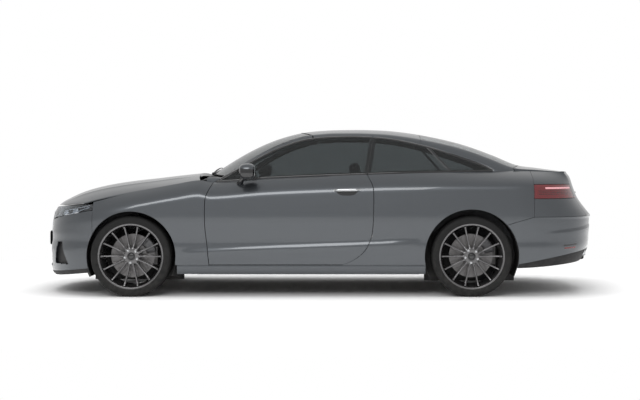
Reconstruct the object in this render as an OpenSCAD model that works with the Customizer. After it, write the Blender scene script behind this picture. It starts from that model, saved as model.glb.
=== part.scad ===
// Two-door coupe car. Millimetres, +Z up, nose towards -X, left side towards -Y.
// The origin is on the ground, below the middle of the car.
//
// The outer skin is one surface given by functions. Each panel is a slab cut out of it:
// a grid of points on the skin, a second grid inside it, and walls along the four edges.
// The skin is drawn at a reference size and stretched to the sizes below.

/* [Body] */
// Overall length
length = 4830; // [4500:10:5200]
// Width over the body, without mirrors
width = 1860; // [1800:10:2000]
// Height of the roof above the ground
height = 1430; // [1380:10:1560]
// Distance between front and rear axles
wheelbase = 2873; // [2700:1:3050]
// Distance from the nose to the front axle
front_overhang = 840; // [780:5:900]

/* [Wheels] */
// Outer diameter of the tyres
tyre_d = 680; // [640:2:700]
// Width of a front tyre
front_tyre_w = 245; // [215:5:250]
// Width of a rear tyre
rear_tyre_w = 265; // [225:5:275]
// Outer diameter of the rims
rim_d = 552; // [500:2:560]
// Distance between the middle planes of the front wheels
front_track = 1580; // [1540:2:1590]
// Distance between the middle planes of the rear wheels
rear_track = 1570; // [1540:2:1590]
// Number of spokes in a rim
spokes = 14; // [5:1:20]
// Outer diameter of the brake discs
disc_d = 372; // [300:2:390]
// Thickness of the brake discs
disc_t = 30; // [20:1:36]
// Radius of the hub spindles
spindle_r = 30; // [24:1:34]
// Running gap round the spindles and at the steering joints
running_gap = 0.4; // [0.3:0.1:1]
// Gap between tyre tread and front arch lip
front_arch_gap = 40; // [30:1:60]
// Gap between tyre tread and rear arch lip
rear_arch_gap = 57; // [30:1:70]

/* [Panels] */
// Thickness of a door
door_t = 100; // [80:1:110]
// Thickness of the front wings
wing_t = 25; // [10:1:30]
// Thickness of the quarter panels
quarter_t = 60; // [40:1:70]
// Thickness of the bumpers
bumper_t = 40; // [25:1:45]
// Thickness of the bonnet
bonnet_t = 26; // [15:1:30]
// Thickness of the boot lid
boot_t = 26; // [15:1:30]
// Thickness of the roof with its lining
roof_t = 36; // [25:1:45]
// Thickness of the window glass
glass_t = 6; // [4:1:8]
// Gap round the doors, the bonnet and the boot lid
shut_gap = 8; // [6:0.5:10]
// Gap between fixed panels
seam = 0.5; // [0.3:0.1:0.9]

/* [Hinges] */
// Distance from a door's front edge back to its hinge pins
hinge_back = 110; // [100:1:130]
// Depth of the door hinge pins inside the skin
hinge_depth = 24; // [22:1:30]
// Radius of the hinge pins
pin_r = 6; // [5:0.5:8]
// Width of the lid hinge arms
arm_w = 16; // [12:1:20]

/* [Towing] */
// Radius of the sockets for the towing eyes
tow_r = 10; // [8:0.5:12]

/* [Hidden] */

front_axle = -length / 2 + front_overhang;
rear_axle = front_axle + wheelbase;
axle_z = tyre_d / 2;
front_arch_r = axle_z + front_arch_gap;
rear_arch_r = axle_z + rear_arch_gap;

// Stations of the reference car: a far point, nose, front axle, rear axle, tail, a far point
REF_X = [-3415, -2415, -1575, 1298, 2415, 3415];
REF_W = 1860;
REF_H = 1430;
REAL_X = [-length / 2 - 1000, -length / 2, front_axle, rear_axle, length / 2, length / 2 + 1000];
function pairs(a, b) = [for (i = [0:len(a) - 1]) [a[i], b[i]]];
TO_REAL = pairs(REF_X, REAL_X);
TO_REF = pairs(REAL_X, REF_X);

// Place of a reference station, side distance or height on this car
function px(x) = lookup(x, TO_REAL);
function py(y) = y * width / REF_W;
function pz(z) = z * height / REF_H;
// The same, the other way round
function rx(x) = lookup(x, TO_REF);
function ry(y) = y * REF_W / width;
function rz(z) = z * REF_H / height;
function place(p) = [px(p[0]), py(p[1]), pz(p[2])];

// ---- Curves ----

// Smooth curve through points [x, y] sorted by x, level beyond its ends
function span(x, p, i = 0) = i >= len(p) - 2 || x < p[i + 1][0] ? i : span(x, p, i + 1);
function slope(p, i) =
    let (a = max(0, i - 1), b = min(len(p) - 1, i + 1))
    (p[b][1] - p[a][1]) / (p[b][0] - p[a][0]);
function curve(x, p) =
    let (i = span(x, p), h = p[i + 1][0] - p[i][0], t = min(1, max(0, (x - p[i][0]) / h)))
    let (t2 = t * t, t3 = t2 * t)
    (2 * t3 - 3 * t2 + 1) * p[i][1] + (t3 - 2 * t2 + t) * h * slope(p, i)
    + (3 * t2 - 2 * t3) * p[i + 1][1] + (t3 - t2) * h * slope(p, i + 1);
function mix(a, b, t) = a + (b - a) * t;
function power(a, n) = sign(a) * pow(abs(a), n);

// ---- Outer skin of the reference car ----

// Station where the rounding of the nose begins, and its shape
NOSE_C = -1515;
NOSE_P = 2.6;
// Station where the rounding of the tail begins, and its shape
TAIL_C = 1610;
TAIL_P = 2.8;
// Along the skin, the middle of the nose and of the tail
NOSE_S = -2415;
TAIL_S = 2415;
// Nose and tail on the middle plane: [height, station]
NOSE = [[120, -2340], [160, -2388], [205, -2413], [370, -2415], [450, -2402], [535, -2400],
        [680, -2379], [752, -2342], [795, -2288]];
TAIL = [[200, 2250], [300, 2340], [400, 2392], [520, 2398], [650, 2406], [672, 2415], [690, 2398],
        [818, 2300], [920, 2256], [1005, 2226], [1045, 2195]];
// Height of the top edge of the side: bonnet edge, belt line, then boot edge
TOP_Z = [[-2200, 770], [-1960, 786], [-1700, 848], [-1483, 896], [-1200, 950], [-1010, 980], [-890, 962],
         [-414, 996], [415, 1028], [1000, 1045], [1504, 1055], [1800, 1060], [2195, 1040]];
// Half width at that edge
TOP_Y = [[-2200, 790], [-1960, 826], [-1700, 815], [-1483, 800], [-1010, 792], [-890, 784], [-414, 805],
         [415, 815], [1000, 785], [1504, 705], [1760, 650], [2195, 608]];
// Side section: half width by height, where the shoulder has not begun to turn in
SECTION = [[150, 862], [190, 878], [270, 898], [400, 914], [470, 914], [560, 921], [650, 928],
           [760, 928], [880, 921], [1060, 905]];
SHOULDER = 165;
SHOULDER_P = 2.4;

function section(z) = curve(z, SECTION);
// Half width w turned in at the shoulder to meet the top edge
function shoulder(x, z, w) =
    let (t = max(0, (z - curve(x, TOP_Z) + SHOULDER) / SHOULDER))
    w - max(0, w - curve(x, TOP_Y)) * pow(t, SHOULDER_P);

// Point of the left skin at distance s along the side, height z, and depth t inside it
function skin(s, z, t = 0) =
    s < NOSE_C ? end_point(90 * (NOSE_C - s) / (NOSE_C - NOSE_S), z, t, NOSE_C, curve(z, NOSE), NOSE_P)
    : s > TAIL_C ? end_point(90 * (s - TAIL_C) / (TAIL_S - TAIL_C), z, t, TAIL_C, curve(z, TAIL), TAIL_P)
    : [s, t - shoulder(s, z, section(z)), z];
// Near the middle of an end the depth turns from sideways to lengthways
function end_point(q, z, t, c, tip, p) = let (
        x = c + sign(tip - c) * (abs(tip - c) * power(sin(q), 2 / p) - t * max(0, (q - 30) / 60)),
        share = power(cos(q), 2 / p))
    [x, t * share - shoulder(x, z, section(z) * share), z];

// Distance along the side for a station x at height z
function along(x, z) =
    x < NOSE_C ? NOSE_C - (NOSE_C - NOSE_S) / 90 * end_angle((NOSE_C - x) / (NOSE_C - curve(z, NOSE)), NOSE_P)
    : x > TAIL_C ? TAIL_C + (TAIL_S - TAIL_C) / 90 * end_angle((x - TAIL_C) / (curve(z, TAIL) - TAIL_C), TAIL_P)
    : x;
function end_angle(share, p) = asin(min(1, pow(share, p / 2)));
// Distance along the side where the skin's half width is y, at the tail and at the nose
function along_tail(y, z) = TAIL_C + (TAIL_S - TAIL_C) / 90 * acos(pow(y / section(z), TAIL_P / 2));
function along_nose(y, z) = NOSE_C - (NOSE_C - NOSE_S) / 90 * acos(pow(y / section(z), NOSE_P / 2));

// ---- Glasshouse of the reference car ----

// Middle line of windscreen, roof, rear window and boot lid: [station, height]
CENTRE = [[-985, 1022], [-751, 1172], [-569, 1270], [-387, 1345], [-174, 1401], [39, 1424], [250, 1430],
          [430, 1429], [645, 1418], [902, 1383], [1177, 1325], [1370, 1268], [1562, 1196], [1770, 1112],
          [1947, 1086], [2140, 1058], [2195, 1047]];
// How far the sides of the screens sweep towards the middle of the car at SWEEP_Y
SWEEP = [[-1000, 140], [-300, 125], [200, 0], [800, -60], [1770, -90], [2195, 0]];
SWEEP_Y = 650;
// Fall of the roof from its middle line to CROWN_Y
CROWN = [[-1000, 12], [-400, 35], [0, 50], [900, 50], [1700, 25], [2195, 7]];
CROWN_Y = 600;
// Rise of the side windows for each millimetre they lean in, and the blend into the roof
LEAN = 1.62;
BLEND = 55;
// Side glass: its upper edge seen from the side
GLASS_Z = [[-890, 962], [-702, 1069], [-509, 1176], [-340, 1258], [-142, 1326], [58, 1352], [346, 1358],
           [632, 1334], [875, 1284], [1013, 1246], [1254, 1167], [1420, 1107], [1504, 1062]];

// How far the side glass stands inside the belt line
BELT_IN = [[1350, 12], [1560, 1]];

function belt_y(x) = curve(x, TOP_Y) - curve(x, BELT_IN);
// Half width of the side windows at height z
function side_glass_y(x, z) = belt_y(x) - (z - curve(x, TOP_Z)) / LEAN;
function smooth_min(a, b, k) =
    let (h = max(0, k - abs(a - b)) / k)
    min(a, b) - h * h * k / 4;
function top_z(x, y) =
    let (e = x - curve(x, SWEEP) * pow(y / SWEEP_Y, 2))
    curve(e, CENTRE) - curve(e, CROWN) * pow(abs(y) / CROWN_Y, 2.2);
// Height of the glasshouse at station x and side distance y
function house_z(x, y) =
    smooth_min(curve(x, TOP_Z) + LEAN * (belt_y(x) - abs(y)), top_z(x, y), BLEND);

// ---- Slabs ----

// A closed slab. outer and inner take (u, v) from 0 to 1 and give reference points.
// With flip the two sides change places, for grids that run the other way round.
module slab(nu, nv, outer, inner, flip = false) {
    row = nu + 1;
    count = row * (nv + 1);
    grid_a = [for (j = [0:nv], i = [0:nu]) place(outer(i / nu, j / nv))];
    grid_b = [for (j = [0:nv], i = [0:nu]) place(inner(i / nu, j / nv))];
    cells = [for (j = [0:nv - 1], i = [0:nu - 1]) j * row + i];
    top = [for (a = cells) each [[a, a + 1, a + row + 1], [a, a + row + 1, a + row]]];
    bottom = [for (f = top) [f[0] + count, f[2] + count, f[1] + count]];
    rim = concat([for (i = [0:nu - 1]) [i, i + 1]],
                 [for (j = [0:nv - 1]) [j * row + nu, (j + 1) * row + nu]],
                 [for (i = [nu:-1:1]) [nv * row + i, nv * row + i - 1]],
                 [for (j = [nv:-1:1]) [j * row, (j - 1) * row]]);
    walls = [for (e = rim) each [[e[1], e[0], e[0] + count], [e[1], e[0] + count, e[1] + count]]];
    faces = concat(top, bottom, walls);
    polyhedron(concat(grid_a, grid_b), flip ? faces : [for (f = faces) [f[0], f[2], f[1]]]);
}

// A slab on the side skin, where edge(u, v) gives [distance along, height].
// Towards its top edge the inner face comes out to lie below the outer one by drop.
module side_slab(nu, nv, t, edge, drop = 0) {
    depth = ry(t);
    fade = function (v) drop > 0 ? pow(v, 4) : 0;
    slab(nu, nv,
         function (u, v) let (e = edge(u, v)) skin(e[0], e[1]),
         function (u, v) let (e = edge(u, v)) skin(e[0], e[1], depth * (1 - fade(v))) - [0, 0, drop * fade(v)]);
}

// A slab of the glasshouse, where edge(u, v) gives [station, side distance]
module house_slab(nu, nv, t, edge) {
    drop = rz(t);
    slab(nu, nv,
         function (u, v) let (e = edge(u, v)) [e[0], e[1], house_z(e[0], e[1])],
         function (u, v) let (e = edge(u, v)) [e[0], e[1], house_z(e[0], e[1]) - drop], true);
}

// A block between two corners of the reference car
module block(a, b) {
    p = place(a);
    q = place(b);
    translate(p) cube(q - p);
}

// A straight member of the body frame, a hair shorter all round so that members do not touch
FIT = 0.2;
module member(a, b) {
    p = place(a) + FIT * [1, 1, 1];
    q = place(b) - FIT * [1, 1, 1];
    translate(p) cube(q - p);
}

// The same thing on both sides
module both() {
    children();
    mirror([0, 1, 0]) children();
}

// ---- Shut lines, [distance along or station, height] on the reference car ----

// Front and rear edge of a door: [height, station]
DOOR_FRONT = [[255, -912], [280, -915], [400, -925], [560, -943], [652, -948], [815, -945], [880, -927], [962, -890]];
DOOR_REAR = [[266, 195], [295, 272], [340, 345], [396, 400], [480, 442], [564, 461], [760, 470], [890, 468],
             [943, 458], [1028, 415]];
SILL_Z = 266;
SILL_BOTTOM = 190;
// Seam between front bumper and wing, and the height of the bumper's top there
WING_SEAM_X = -1905;
BUMPER_TOP = 725;
// Rear bumper: angle round the rear arch where its top edge starts, and that edge at the tail
REAR_SEAM_DEG = 42;
TAIL_SEAM_X = 1822;
TAIL_SEAM_Z = 672;
// Tail lamps: lower and upper edge
TAIL_LAMP_Z = [826, 946];
// Half width of the boot lid on the tail
BOOT_FACE_Y = 600;

gap_x = rx(shut_gap) - rx(0);
gap_y = ry(shut_gap);
gap_z = rz(shut_gap);
s_x = seam / 2;

function arch(axle, r, deg) = [rx(axle + r * cos(deg)), rz(axle_z + r * sin(deg))];
function front_arch(deg) = arch(front_axle, front_arch_r, deg);
function rear_arch(deg) = arch(rear_axle, rear_arch_r, deg);
// Angle round an arch at a reference height or station
function arch_deg_z(r, z) = asin((pz(z) - axle_z) / r);
function arch_deg_x(axle, r, x) = acos((px(x) - axle) / r);

front_seam_deg = arch_deg_x(front_axle, front_arch_r, WING_SEAM_X);
front_foot_deg = arch_deg_z(front_arch_r, SILL_Z + s_x);
rear_foot_deg = 180 - arch_deg_z(rear_arch_r, SILL_Z + s_x);
front_seam_z = front_arch(front_seam_deg)[1];
rear_seam = rear_arch(REAR_SEAM_DEG);

// ---- Panels of the side ----

module front_wing() {
    foot = front_arch(front_foot_deg);
    split = 0.7;
    bottom = function (u) u < split
        ? front_arch(mix(arch_deg_x(front_axle, front_arch_r, WING_SEAM_X + s_x), front_foot_deg, u / split))
        : [mix(foot[0], curve(SILL_Z, DOOR_FRONT) - gap_x, (u - split) / (1 - split)), foot[1]];
    top_x = [[0, WING_SEAM_X + s_x], [split, foot[0] + 70], [1, -890 - gap_x]];
    top = function (u) let (x = lookup(u, top_x)) [x, curve(x, TOP_Z)];
    edge = function (u, v) let (p = mix(bottom(u), top(u), v), end = mix(bottom(1), top(1), v))
        [p[0] + pow(u, 6) * (curve(end[1], DOOR_FRONT) - gap_x - end[0]), p[1]];
    side_slab(14, 7, wing_t, function (u, v) let (e = edge(u, v)) [along(e[0], e[1]), e[1]], 20);
}

module front_wings() {
    color("gray") both() front_wing();
}

module skirt() {
    front = front_arch(arch_deg_z(front_arch_r, SILL_Z - s_x))[0] + STEER_ROOM;
    back = rear_arch(180 - arch_deg_z(rear_arch_r, SILL_Z - s_x))[0];
    edge = function (u, v) [mix(front, back, u), mix(SILL_BOTTOM, SILL_Z - s_x, v)];
    slab(10, 2,
         function (u, v) let (e = edge(u, v)) skin(e[0], e[1]),
         function (u, v) let (e = edge(u, v)) [e[0], -SILL_Y, e[1]]);
}
// Half width of the floor pan, and room for the steered tyre ahead of the skirt
SILL_Y = 790;
STEER_ROOM = 16;

module side_skirts() {
    color("dimgray") both() skirt();
}

module quarter_panel() {
    foot = rear_arch(rear_foot_deg);
    cuts = [0.3, 0.8];
    low = [TAIL_SEAM_X - s_x, TAIL_SEAM_Z + s_x];
    bottom = function (u) u < cuts[0]
        ? [mix(curve(SILL_Z, DOOR_REAR) + gap_x, foot[0], u / cuts[0]), foot[1]]
        : u < cuts[1] ? rear_arch(mix(rear_foot_deg, REAR_SEAM_DEG, (u - cuts[0]) / (cuts[1] - cuts[0])))
        : mix([rear_seam[0], rear_seam[1] + s_x], low, (u - cuts[1]) / (1 - cuts[1]));
    top_x = [[0, 415 + gap_x], [cuts[0], foot[0] - 150], [cuts[1], 1560], [1, low[0]]];
    top = function (u) let (x = lookup(u, top_x)) [x, curve(x, TOP_Z)];
    edge = function (u, v) let (w = pow(v, 1.5), p = mix(bottom(u), top(u), w), start = mix(bottom(0), top(0), w))
        [p[0] + pow(max(0, 1 - u / cuts[0]), 2) * (curve(start[1], DOOR_REAR) + gap_x - start[0]), p[1]];
    side_slab(20, 9, quarter_t, function (u, v) let (e = edge(u, v)) [along(e[0], e[1]), e[1]], 26);
}

// Rear corner of the body between two heights, from the quarter panel round to the boot lid
module tail_corner(nu, nv, z0, z1, t, drop = 0) {
    depth = ry(t);
    fade = function (v) drop > 0 ? pow(v, 4) : 0;
    outer = function (u, v)
        let (z = mix(z0(u), z1(u), v), a = along(TAIL_SEAM_X + s_x, z), b = along_tail(BOOT_FACE_Y + gap_y, z))
        skin(mix(a, b, u), z);
    slab(nu, nv, outer, function (u, v)
        outer(u, v) + depth * (1 - fade(v)) * [-u, 1 - u, 0] - [0, 0, drop * fade(v)]);
}

// Sail of the rear pillar, from the roof down to the boot, beside the rear window
module rear_pillar() {
    house_slab(14, 3, 40, function (u, v)
        let (x = mix(ROOF_END + s_x, 1683, u), a = rear_window_y(x) + s_x, b = pillar_y(x))
        [x, -mix(a, b, v)]);
}
ROOF_END = 880;
function rear_window_y(x) = mix(560, 602, (x - ROOF_END) / (1683 - ROOF_END));
function pillar_y(x) = x < 1504 ? side_glass_y(x, curve(x, GLASS_Z)) - ry(glass_t + seam)
                                 : min(curve(x, TOP_Y) - 0.9, side_glass_y(1504, curve(1504, GLASS_Z)) - ry(glass_t + seam));

module quarter_panels() {
    color("gray") both() {
        quarter_panel();
        tail_corner(6, 2, function (u) TAIL_SEAM_Z + s_x, function (u) TAIL_LAMP_Z[0] - s_x, quarter_t);
        tail_corner(6, 2, function (u) TAIL_LAMP_Z[1] + s_x, function (u) mix(1060, 1042, u), 26, 26);
        rear_pillar();
    }
}

module tail_lamps() {
    color("darkred") both()
        tail_corner(8, 2, function (u) TAIL_LAMP_Z[0] + s_x, function (u) TAIL_LAMP_Z[1] - s_x, quarter_t / 2);
}

module side_door() {
    edge = function (u, v)
        let (w = pow(v, 1.5), top = curve(mix(-890, 415, u), TOP_Z), z = mix(SILL_Z + gap_z, top, w))
        [mix(curve(z, DOOR_FRONT), curve(z, DOOR_REAR), u), z];
    // Thinner ahead of the hinge, and smaller inside so that its edges swing clear
    depth = function (u, v) ry(door_t) * lookup(u, [[0, 0.38], [0.1, 0.55], [0.2, 1], [1, 1]])
                            * (1 - 0.6 * pow(v, 8) * max(0, 1 - 6 * u));
    difference() {
        slab(16, 9,
             function (u, v) let (e = edge(u, v)) skin(e[0], e[1]),
             function (u, v) let (e = edge(mix(0.004, 0.99, u), v)) skin(e[0], e[1], depth(u, v)));
        for (z = HINGE_Z) {
            translate([hinge_x, hinge_y, pz(z) - 28]) cylinder(r = 17, h = 56, $fn = 32);
            translate([hinge_x - 140, hinge_y - 8, pz(z) - 28]) cube([157, 168, 56]);
            translate([hinge_x, hinge_y, pz(z) - 60]) cylinder(r = pin_r + 0.3, h = 120, $fn = 32);
        }
    }
}
HINGE_Z = [430, 740];
hinge_x = px(curve(600, DOOR_FRONT)) + hinge_back;
hinge_y = py(skin(rx(hinge_x), 600)[1]) + hinge_depth;

module left_door() {
    color("gray") side_door();
}
module right_door() {
    color("gray") mirror([0, 1, 0]) side_door();
}

// Side glass between two slanted ends, from the belt line to its upper edge
module side_pane(nu, front, back, z_low, gap_top) {
    edge = function (u, v)
        let (x0 = mix(front[0], front[1], v), x1 = mix(back[0], back[1], v), x = mix(x0, x1, u))
        [x, mix(curve(x, TOP_Z) + z_low, curve(x, GLASS_Z) - gap_top, v)];
    slab(nu, 3,
         function (u, v) let (e = edge(u, v)) [e[0], -side_glass_y(e[0], e[1]), e[1]],
         function (u, v) let (e = edge(u, v)) [e[0], ry(glass_t) - side_glass_y(e[0], e[1]), e[1]]);
}

module left_door_glass() {
    color("darkslategray") side_pane(16, [-850, -850], [407, 462], 0.5, 8);
}
module right_door_glass() {
    color("darkslategray") mirror([0, 1, 0]) side_pane(16, [-850, -850], [407, 462], 0.5, 8);
}
module quarter_glass() {
    color("darkslategray") both() side_pane(16, [417, 472], [1480, 1480], 0.5, 0.5);
}

// ---- Bumpers, lamps and grille ----

// Point on the nose, from -1 at the left end through 0 in the middle to 1 at the right end
function nose_point(u, s_end, z, t = 0) =
    let (p = skin(mix(NOSE_S, s_end, abs(u)), z, t)) [p[0], u > 0 ? -p[1] : p[1], z];
function tail_point(u, s_end, z, t = 0) =
    let (p = skin(mix(TAIL_S, s_end, abs(u)), z, t)) [p[0], u > 0 ? -p[1] : p[1], z];

LAMP_Y = 450;
lamp_s = along_nose(LAMP_Y, 700);
// Grille and lower intake: half width, then lower and upper edge
GRILLE = [400, 520, 705];
INTAKE = [520, 225, 410];

module front_bumper() {
    half = 14;
    top_z = [[0, 742], [5 / half, 742], [6 / half, 634], [1, BUMPER_TOP]];
    rear_x = function (z) z < front_seam_z ? front_arch(180 - arch_deg_z(front_arch_r, z))[0] : WING_SEAM_X - s_x;
    bend = 5 / 8;
    point = function (u, v, t) let (
            a = abs(u), low = mix(150, 205, a * a), mid = mix(470, front_seam_z, a), top = lookup(a, top_z),
            z = v < bend ? mix(low, mid, v / bend) : mix(mid, top, (v - bend) / (1 - bend)))
        nose_point(sign(u), lookup(a, [[0, NOSE_S], [5 / half, lamp_s], [6 / half, lamp_s + 12],
                                       [1, along(rear_x(z), z)]]), z, t);
    color("gray") difference() {
        slab(2 * half, 8, function (u, v) point(2 * u - 1, v, 0), function (u, v) point(2 * u - 1, v, ry(bumper_t)), true);
        nose_block(GRILLE, -20, 2 * bumper_t);
        nose_block(INTAKE, -20, 2 * bumper_t);
        tow_hole(-2500, 300);
    }
}

// A piece of the nose between two heights and depths
module nose_block(box, depth, t, clear = 0) {
    s_end = along_nose(box[0] - clear, (box[1] + box[2]) / 2);
    point = function (u, v, d) nose_point(2 * u - 1, s_end, mix(box[1] + clear, box[2] - clear, v), d);
    slab(8, 1, function (u, v) point(u, v, depth), function (u, v) point(u, v, depth + t), true);
}

module grille() {
    color("black") {
        nose_block(GRILLE, 12, 14, seam);
        nose_block(INTAKE, 16, 14, seam);
    }
}

module head_lamps() {
    color("lightgray") both()
        slab(10, 3, function (u, v) head_lamp_point(u, v, 0), function (u, v) head_lamp_point(u, v, ry(LAMP_T)));
}
LAMP_T = 36;
function head_lamp_point(u, v, t) =
    let (low = mix(644, BUMPER_TOP + 4, u), z = mix(low, hood_front_z(mix(0.34, 1, u)) - 12, v))
    skin(mix(lamp_s + mix(15, 3, v), along(WING_SEAM_X - s_x, z), u), z, t);

module rear_bumper() {
    half = 13;
    front_x = function (z) rear_arch(arch_deg_z(rear_arch_r, z))[0];
    seam_line = [[rear_seam[0], rear_seam[1]], [TAIL_SEAM_X, TAIL_SEAM_Z], [3000, TAIL_SEAM_Z]];
    end = function (v) let (z = mix(240, rear_seam[1] - s_x, v)) along(front_x(z), z);
    // Height of the top edge at a station, which moves a little with the height itself
    step = function (a, z) lookup(skin(mix(TAIL_S, end(1), a), z)[0], seam_line);
    top = function (a) step(a, step(a, step(a, TAIL_SEAM_Z))) - s_x;
    point = function (u, v, t) let (a = abs(u)) tail_point(u, end(v), mix(mix(300, 240, pow(a, 3)), top(a), v), t);
    color("gray") difference() {
        slab(2 * half, 8, function (u, v) point(2 * u - 1, v, 0), function (u, v) point(2 * u - 1, v, ry(bumper_t)));
        tow_hole(2300, 300);
    }
}

// Clear hole in a bumper in line with the socket for the towing eye
module tow_hole(x, l) {
    translate([px(x), py(TOW_Y), pz(460)]) rotate([0, 90, 0]) cylinder(r = tow_r + 8, h = l, $fn = 48);
}

// ---- Bonnet, boot lid, roof and screens ----

HOOD = [[0, 0], [0.043, 0.147], [0.173, 0.43], [0.33, 0.623], [0.505, 0.751], [0.68, 0.839], [0.855, 0.932], [1, 1]];
HOOD_FRONT_X = -1960;
// Rear edge of the bonnet: station in the middle and at the side, height in the middle and at the side
HOOD_REAR = [-1077, -1005, 1037, 981];
function hood_front_z(a) = 752 + 34 * pow(abs(a), 1.5);

function hood(u, v) = let (
        a = abs(u),
        f = nose_point(u, along(HOOD_FRONT_X, hood_front_z(1)), hood_front_z(u)),
        f1 = -skin(along(HOOD_FRONT_X, hood_front_z(1)), hood_front_z(1))[1],
        side_x = mix(HOOD_FRONT_X, HOOD_REAR[1], v), side_y = curve(side_x, TOP_Y) - gap_y,
        r1 = curve(HOOD_REAR[1], TOP_Y) - gap_y,
        r = [mix(HOOD_REAR[0], HOOD_REAR[1], a * a), u * r1, mix(HOOD_REAR[2], HOOD_REAR[3], pow(a, 2.2))],
        h = mix(curve(v, HOOD), pow(v, 0.86), a * a))
    [mix(f[0], r[0], v), mix(f[1], r[1], v) + sign(u) * pow(a, 3) * (side_y - mix(f1, r1, v)), mix(f[2], r[2], h)];

module bonnet() {
    back = function (u) nose_point(u, along(HOOD_FRONT_X, hood_front_z(1)), hood_front_z(u), 60)
                        - nose_point(u, along(HOOD_FRONT_X, hood_front_z(1)), hood_front_z(u));
    color("gray") union() {
        slab(16, 12,
             function (u, v) hood(2 * u - 1, v),
             function (u, v) hood(2 * u - 1, v) + pow(1 - v, 4) * back(2 * u - 1)
                             - [0, 0, rz(mix(2, bonnet_t, 1 - pow(1 - v, 6)))], true);
        both() bonnet_arm();
    }
}

// Bonnet hinge: pin axis and the side distance of the arms
hood_pin = [px(-960), pz(945)];
hood_arm_y = py(660);
module bonnet_arm() {
    translate([0, arm_w / 2 - hood_arm_y, 0]) rotate([90, 0, 0]) difference() {
        linear_extrude(arm_w) polygon([
            [hood_pin[0] - 12, hood_pin[1] - 12], [hood_pin[0] + 12, hood_pin[1] - 12],
            [hood_pin[0] + 12, hood_pin[1] + 10], [hood_pin[0] - 50, hood_pin[1] + 12],
            [hood_pin[0] - 90, hood_pin[1] + 44], [hood_pin[0] - 170, hood_pin[1] + 36],
            [hood_pin[0] - 170, hood_pin[1]]]);
        translate([hood_pin[0], hood_pin[1], -1]) cylinder(r = pin_r + 0.3, h = arm_w + 2, $fn = 32);
    }
}

// Front edge of the boot lid and its lip at side distance y
function boot_front_x(y) = 1782 - 90 * pow(y / 600, 2);
function tail_x(y, z) = TAIL_C + (curve(z, TAIL) - TAIL_C) * pow(1 - pow(abs(y) / section(z), TAIL_P), 1 / TAIL_P);
BOOT_BOTTOM = 680;
LIP_Z = 1045;
function boot(u, v) = let (
        side = curve(mix(1740, 2150, min(1, 2 * v)), TOP_Y) - gap_y, y = u * (v < 0.5 ? side : BOOT_FACE_Y))
    v < 0.5 ? let (x = mix(boot_front_x(y), tail_x(y, LIP_Z), 2 * v)) [x, y, top_z(x, y)]
    : let (z = mix(top_z(tail_x(y, LIP_Z), y), BOOT_BOTTOM, 2 * v - 1)) [tail_x(y, min(z, LIP_Z)), y, z];

// Boot hinge: pin axis, and the inner and outer radius of the swan neck
boot_pin = [px(boot_front_x(540)) - 150, pz(1000)];
NECK = [179, 195];
boot_arm_y = py(540);

module boot_lid() {
    color("gray") union() {
        slab(14, 16,
             function (u, v) boot(2 * u - 1, v),
             function (u, v) boot(2 * u - 1, v)
                 - [v < 0.5 ? -14 * pow(1 - v, 12) : rz(boot_t), 0, v > 0.5 ? 0 : rz(boot_t)], true);
        both() boot_arm();
    }
}

// Swan-neck arm: straight back and down from the pin, then an arc up to the lid
module boot_arm() {
    translate([boot_pin[0], arm_w / 2 - boot_arm_y, boot_pin[1]]) rotate([90, 0, 0]) difference() {
        union() {
            cylinder(r = pin_r + 8, h = arm_w, $fn = 32);
            rotate(-50) translate([0, -9, 0]) cube([NECK[1], 18, arm_w]);
            rotate(-55) rotate_extrude(angle = 83, $fn = 96) translate([NECK[0], 0]) square([NECK[1] - NECK[0], arm_w]);
        }
        translate([0, 0, -1]) cylinder(r = pin_r + 0.3, h = arm_w + 2, $fn = 32);
    }
}

function header_x(y) = -170 + 130 * pow(y / 600, 2);
function screen_side_y(x) = 700 - 0.2037 * (x + 823);

module roof() {
    color("gray") house_slab(20, 12, roof_t, function (u, v)
        let (w = 2 * u - 1, x0 = mix(-40, ROOF_END, v),
             y = w * (side_glass_y(x0, curve(x0, GLASS_Z)) - gap_y - ry(glass_t)))
        [mix(header_x(y), ROOF_END - s_x, v), y]);
}

module screen_pillars() {
    color("black") both() house_slab(12, 2, 40, function (u, v)
        let (x = mix(-950, header_x(560) - 3, u), a = screen_side_y(x) + s_x,
             b = min(side_glass_y(x, curve(max(x, -890), GLASS_Z)), belt_y(x)) - gap_y - ry(glass_t))
        [min(x, header_x(mix(a, b, v)) - seam), -mix(a, b, v)]);
}

function screen_base_x(y) = -985 + 145 * pow(y / SWEEP_Y, 2);
module windscreen() {
    color("darkslategray") house_slab(16, 9, glass_t, function (u, v)
        let (w = 2 * u - 1, x0 = mix(-817, -62, v), y = w * (screen_side_y(x0) - 2 * s_x))
        [mix(screen_base_x(y), header_x(y) - seam, v), y]);
}

function rear_window_base_x(y) = boot_front_x(y) - gap_x;
module rear_window() {
    color("darkslategray") house_slab(14, 8, glass_t, function (u, v)
        let (w = 2 * u - 1, x0 = mix(ROOF_END, 1683, v), y = w * (rear_window_y(x0) - s_x))
        [mix(ROOF_END + s_x, rear_window_base_x(y), v), y]);
}

// Tray between the bonnet and the windscreen
module wiper_tray() {
    y_end = 620;
    color("black") slab(12, 1,
        function (u, v) let (y = (2 * u - 1) * y_end)
            [mix(tray_x(y), screen_base_x(y) - 0.9, v), y, mix(975, screen_base_z(y) - 1, v)],
        function (u, v) let (y = (2 * u - 1) * y_end)
            [mix(tray_x(y), screen_base_x(y) - 0.9, v), y, mix(963, screen_base_z(y) - 15, v)], true);
}
function tray_x(y) = mix(HOOD_REAR[0], HOOD_REAR[1], pow(y / 784, 2)) + 12;
function screen_base_z(y) = house_z(screen_base_x(y), y);

// ---- Body frame under the panels ----

RAIL_Y = [380, 470];
POST_Y = 760;
// Reference heights of the rear floor, and of the wheel housings over the tyres
deck = rz(axle_z + 10);
house_top = rz(tyre_d + 88);
TOW_Y = 330;

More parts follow.
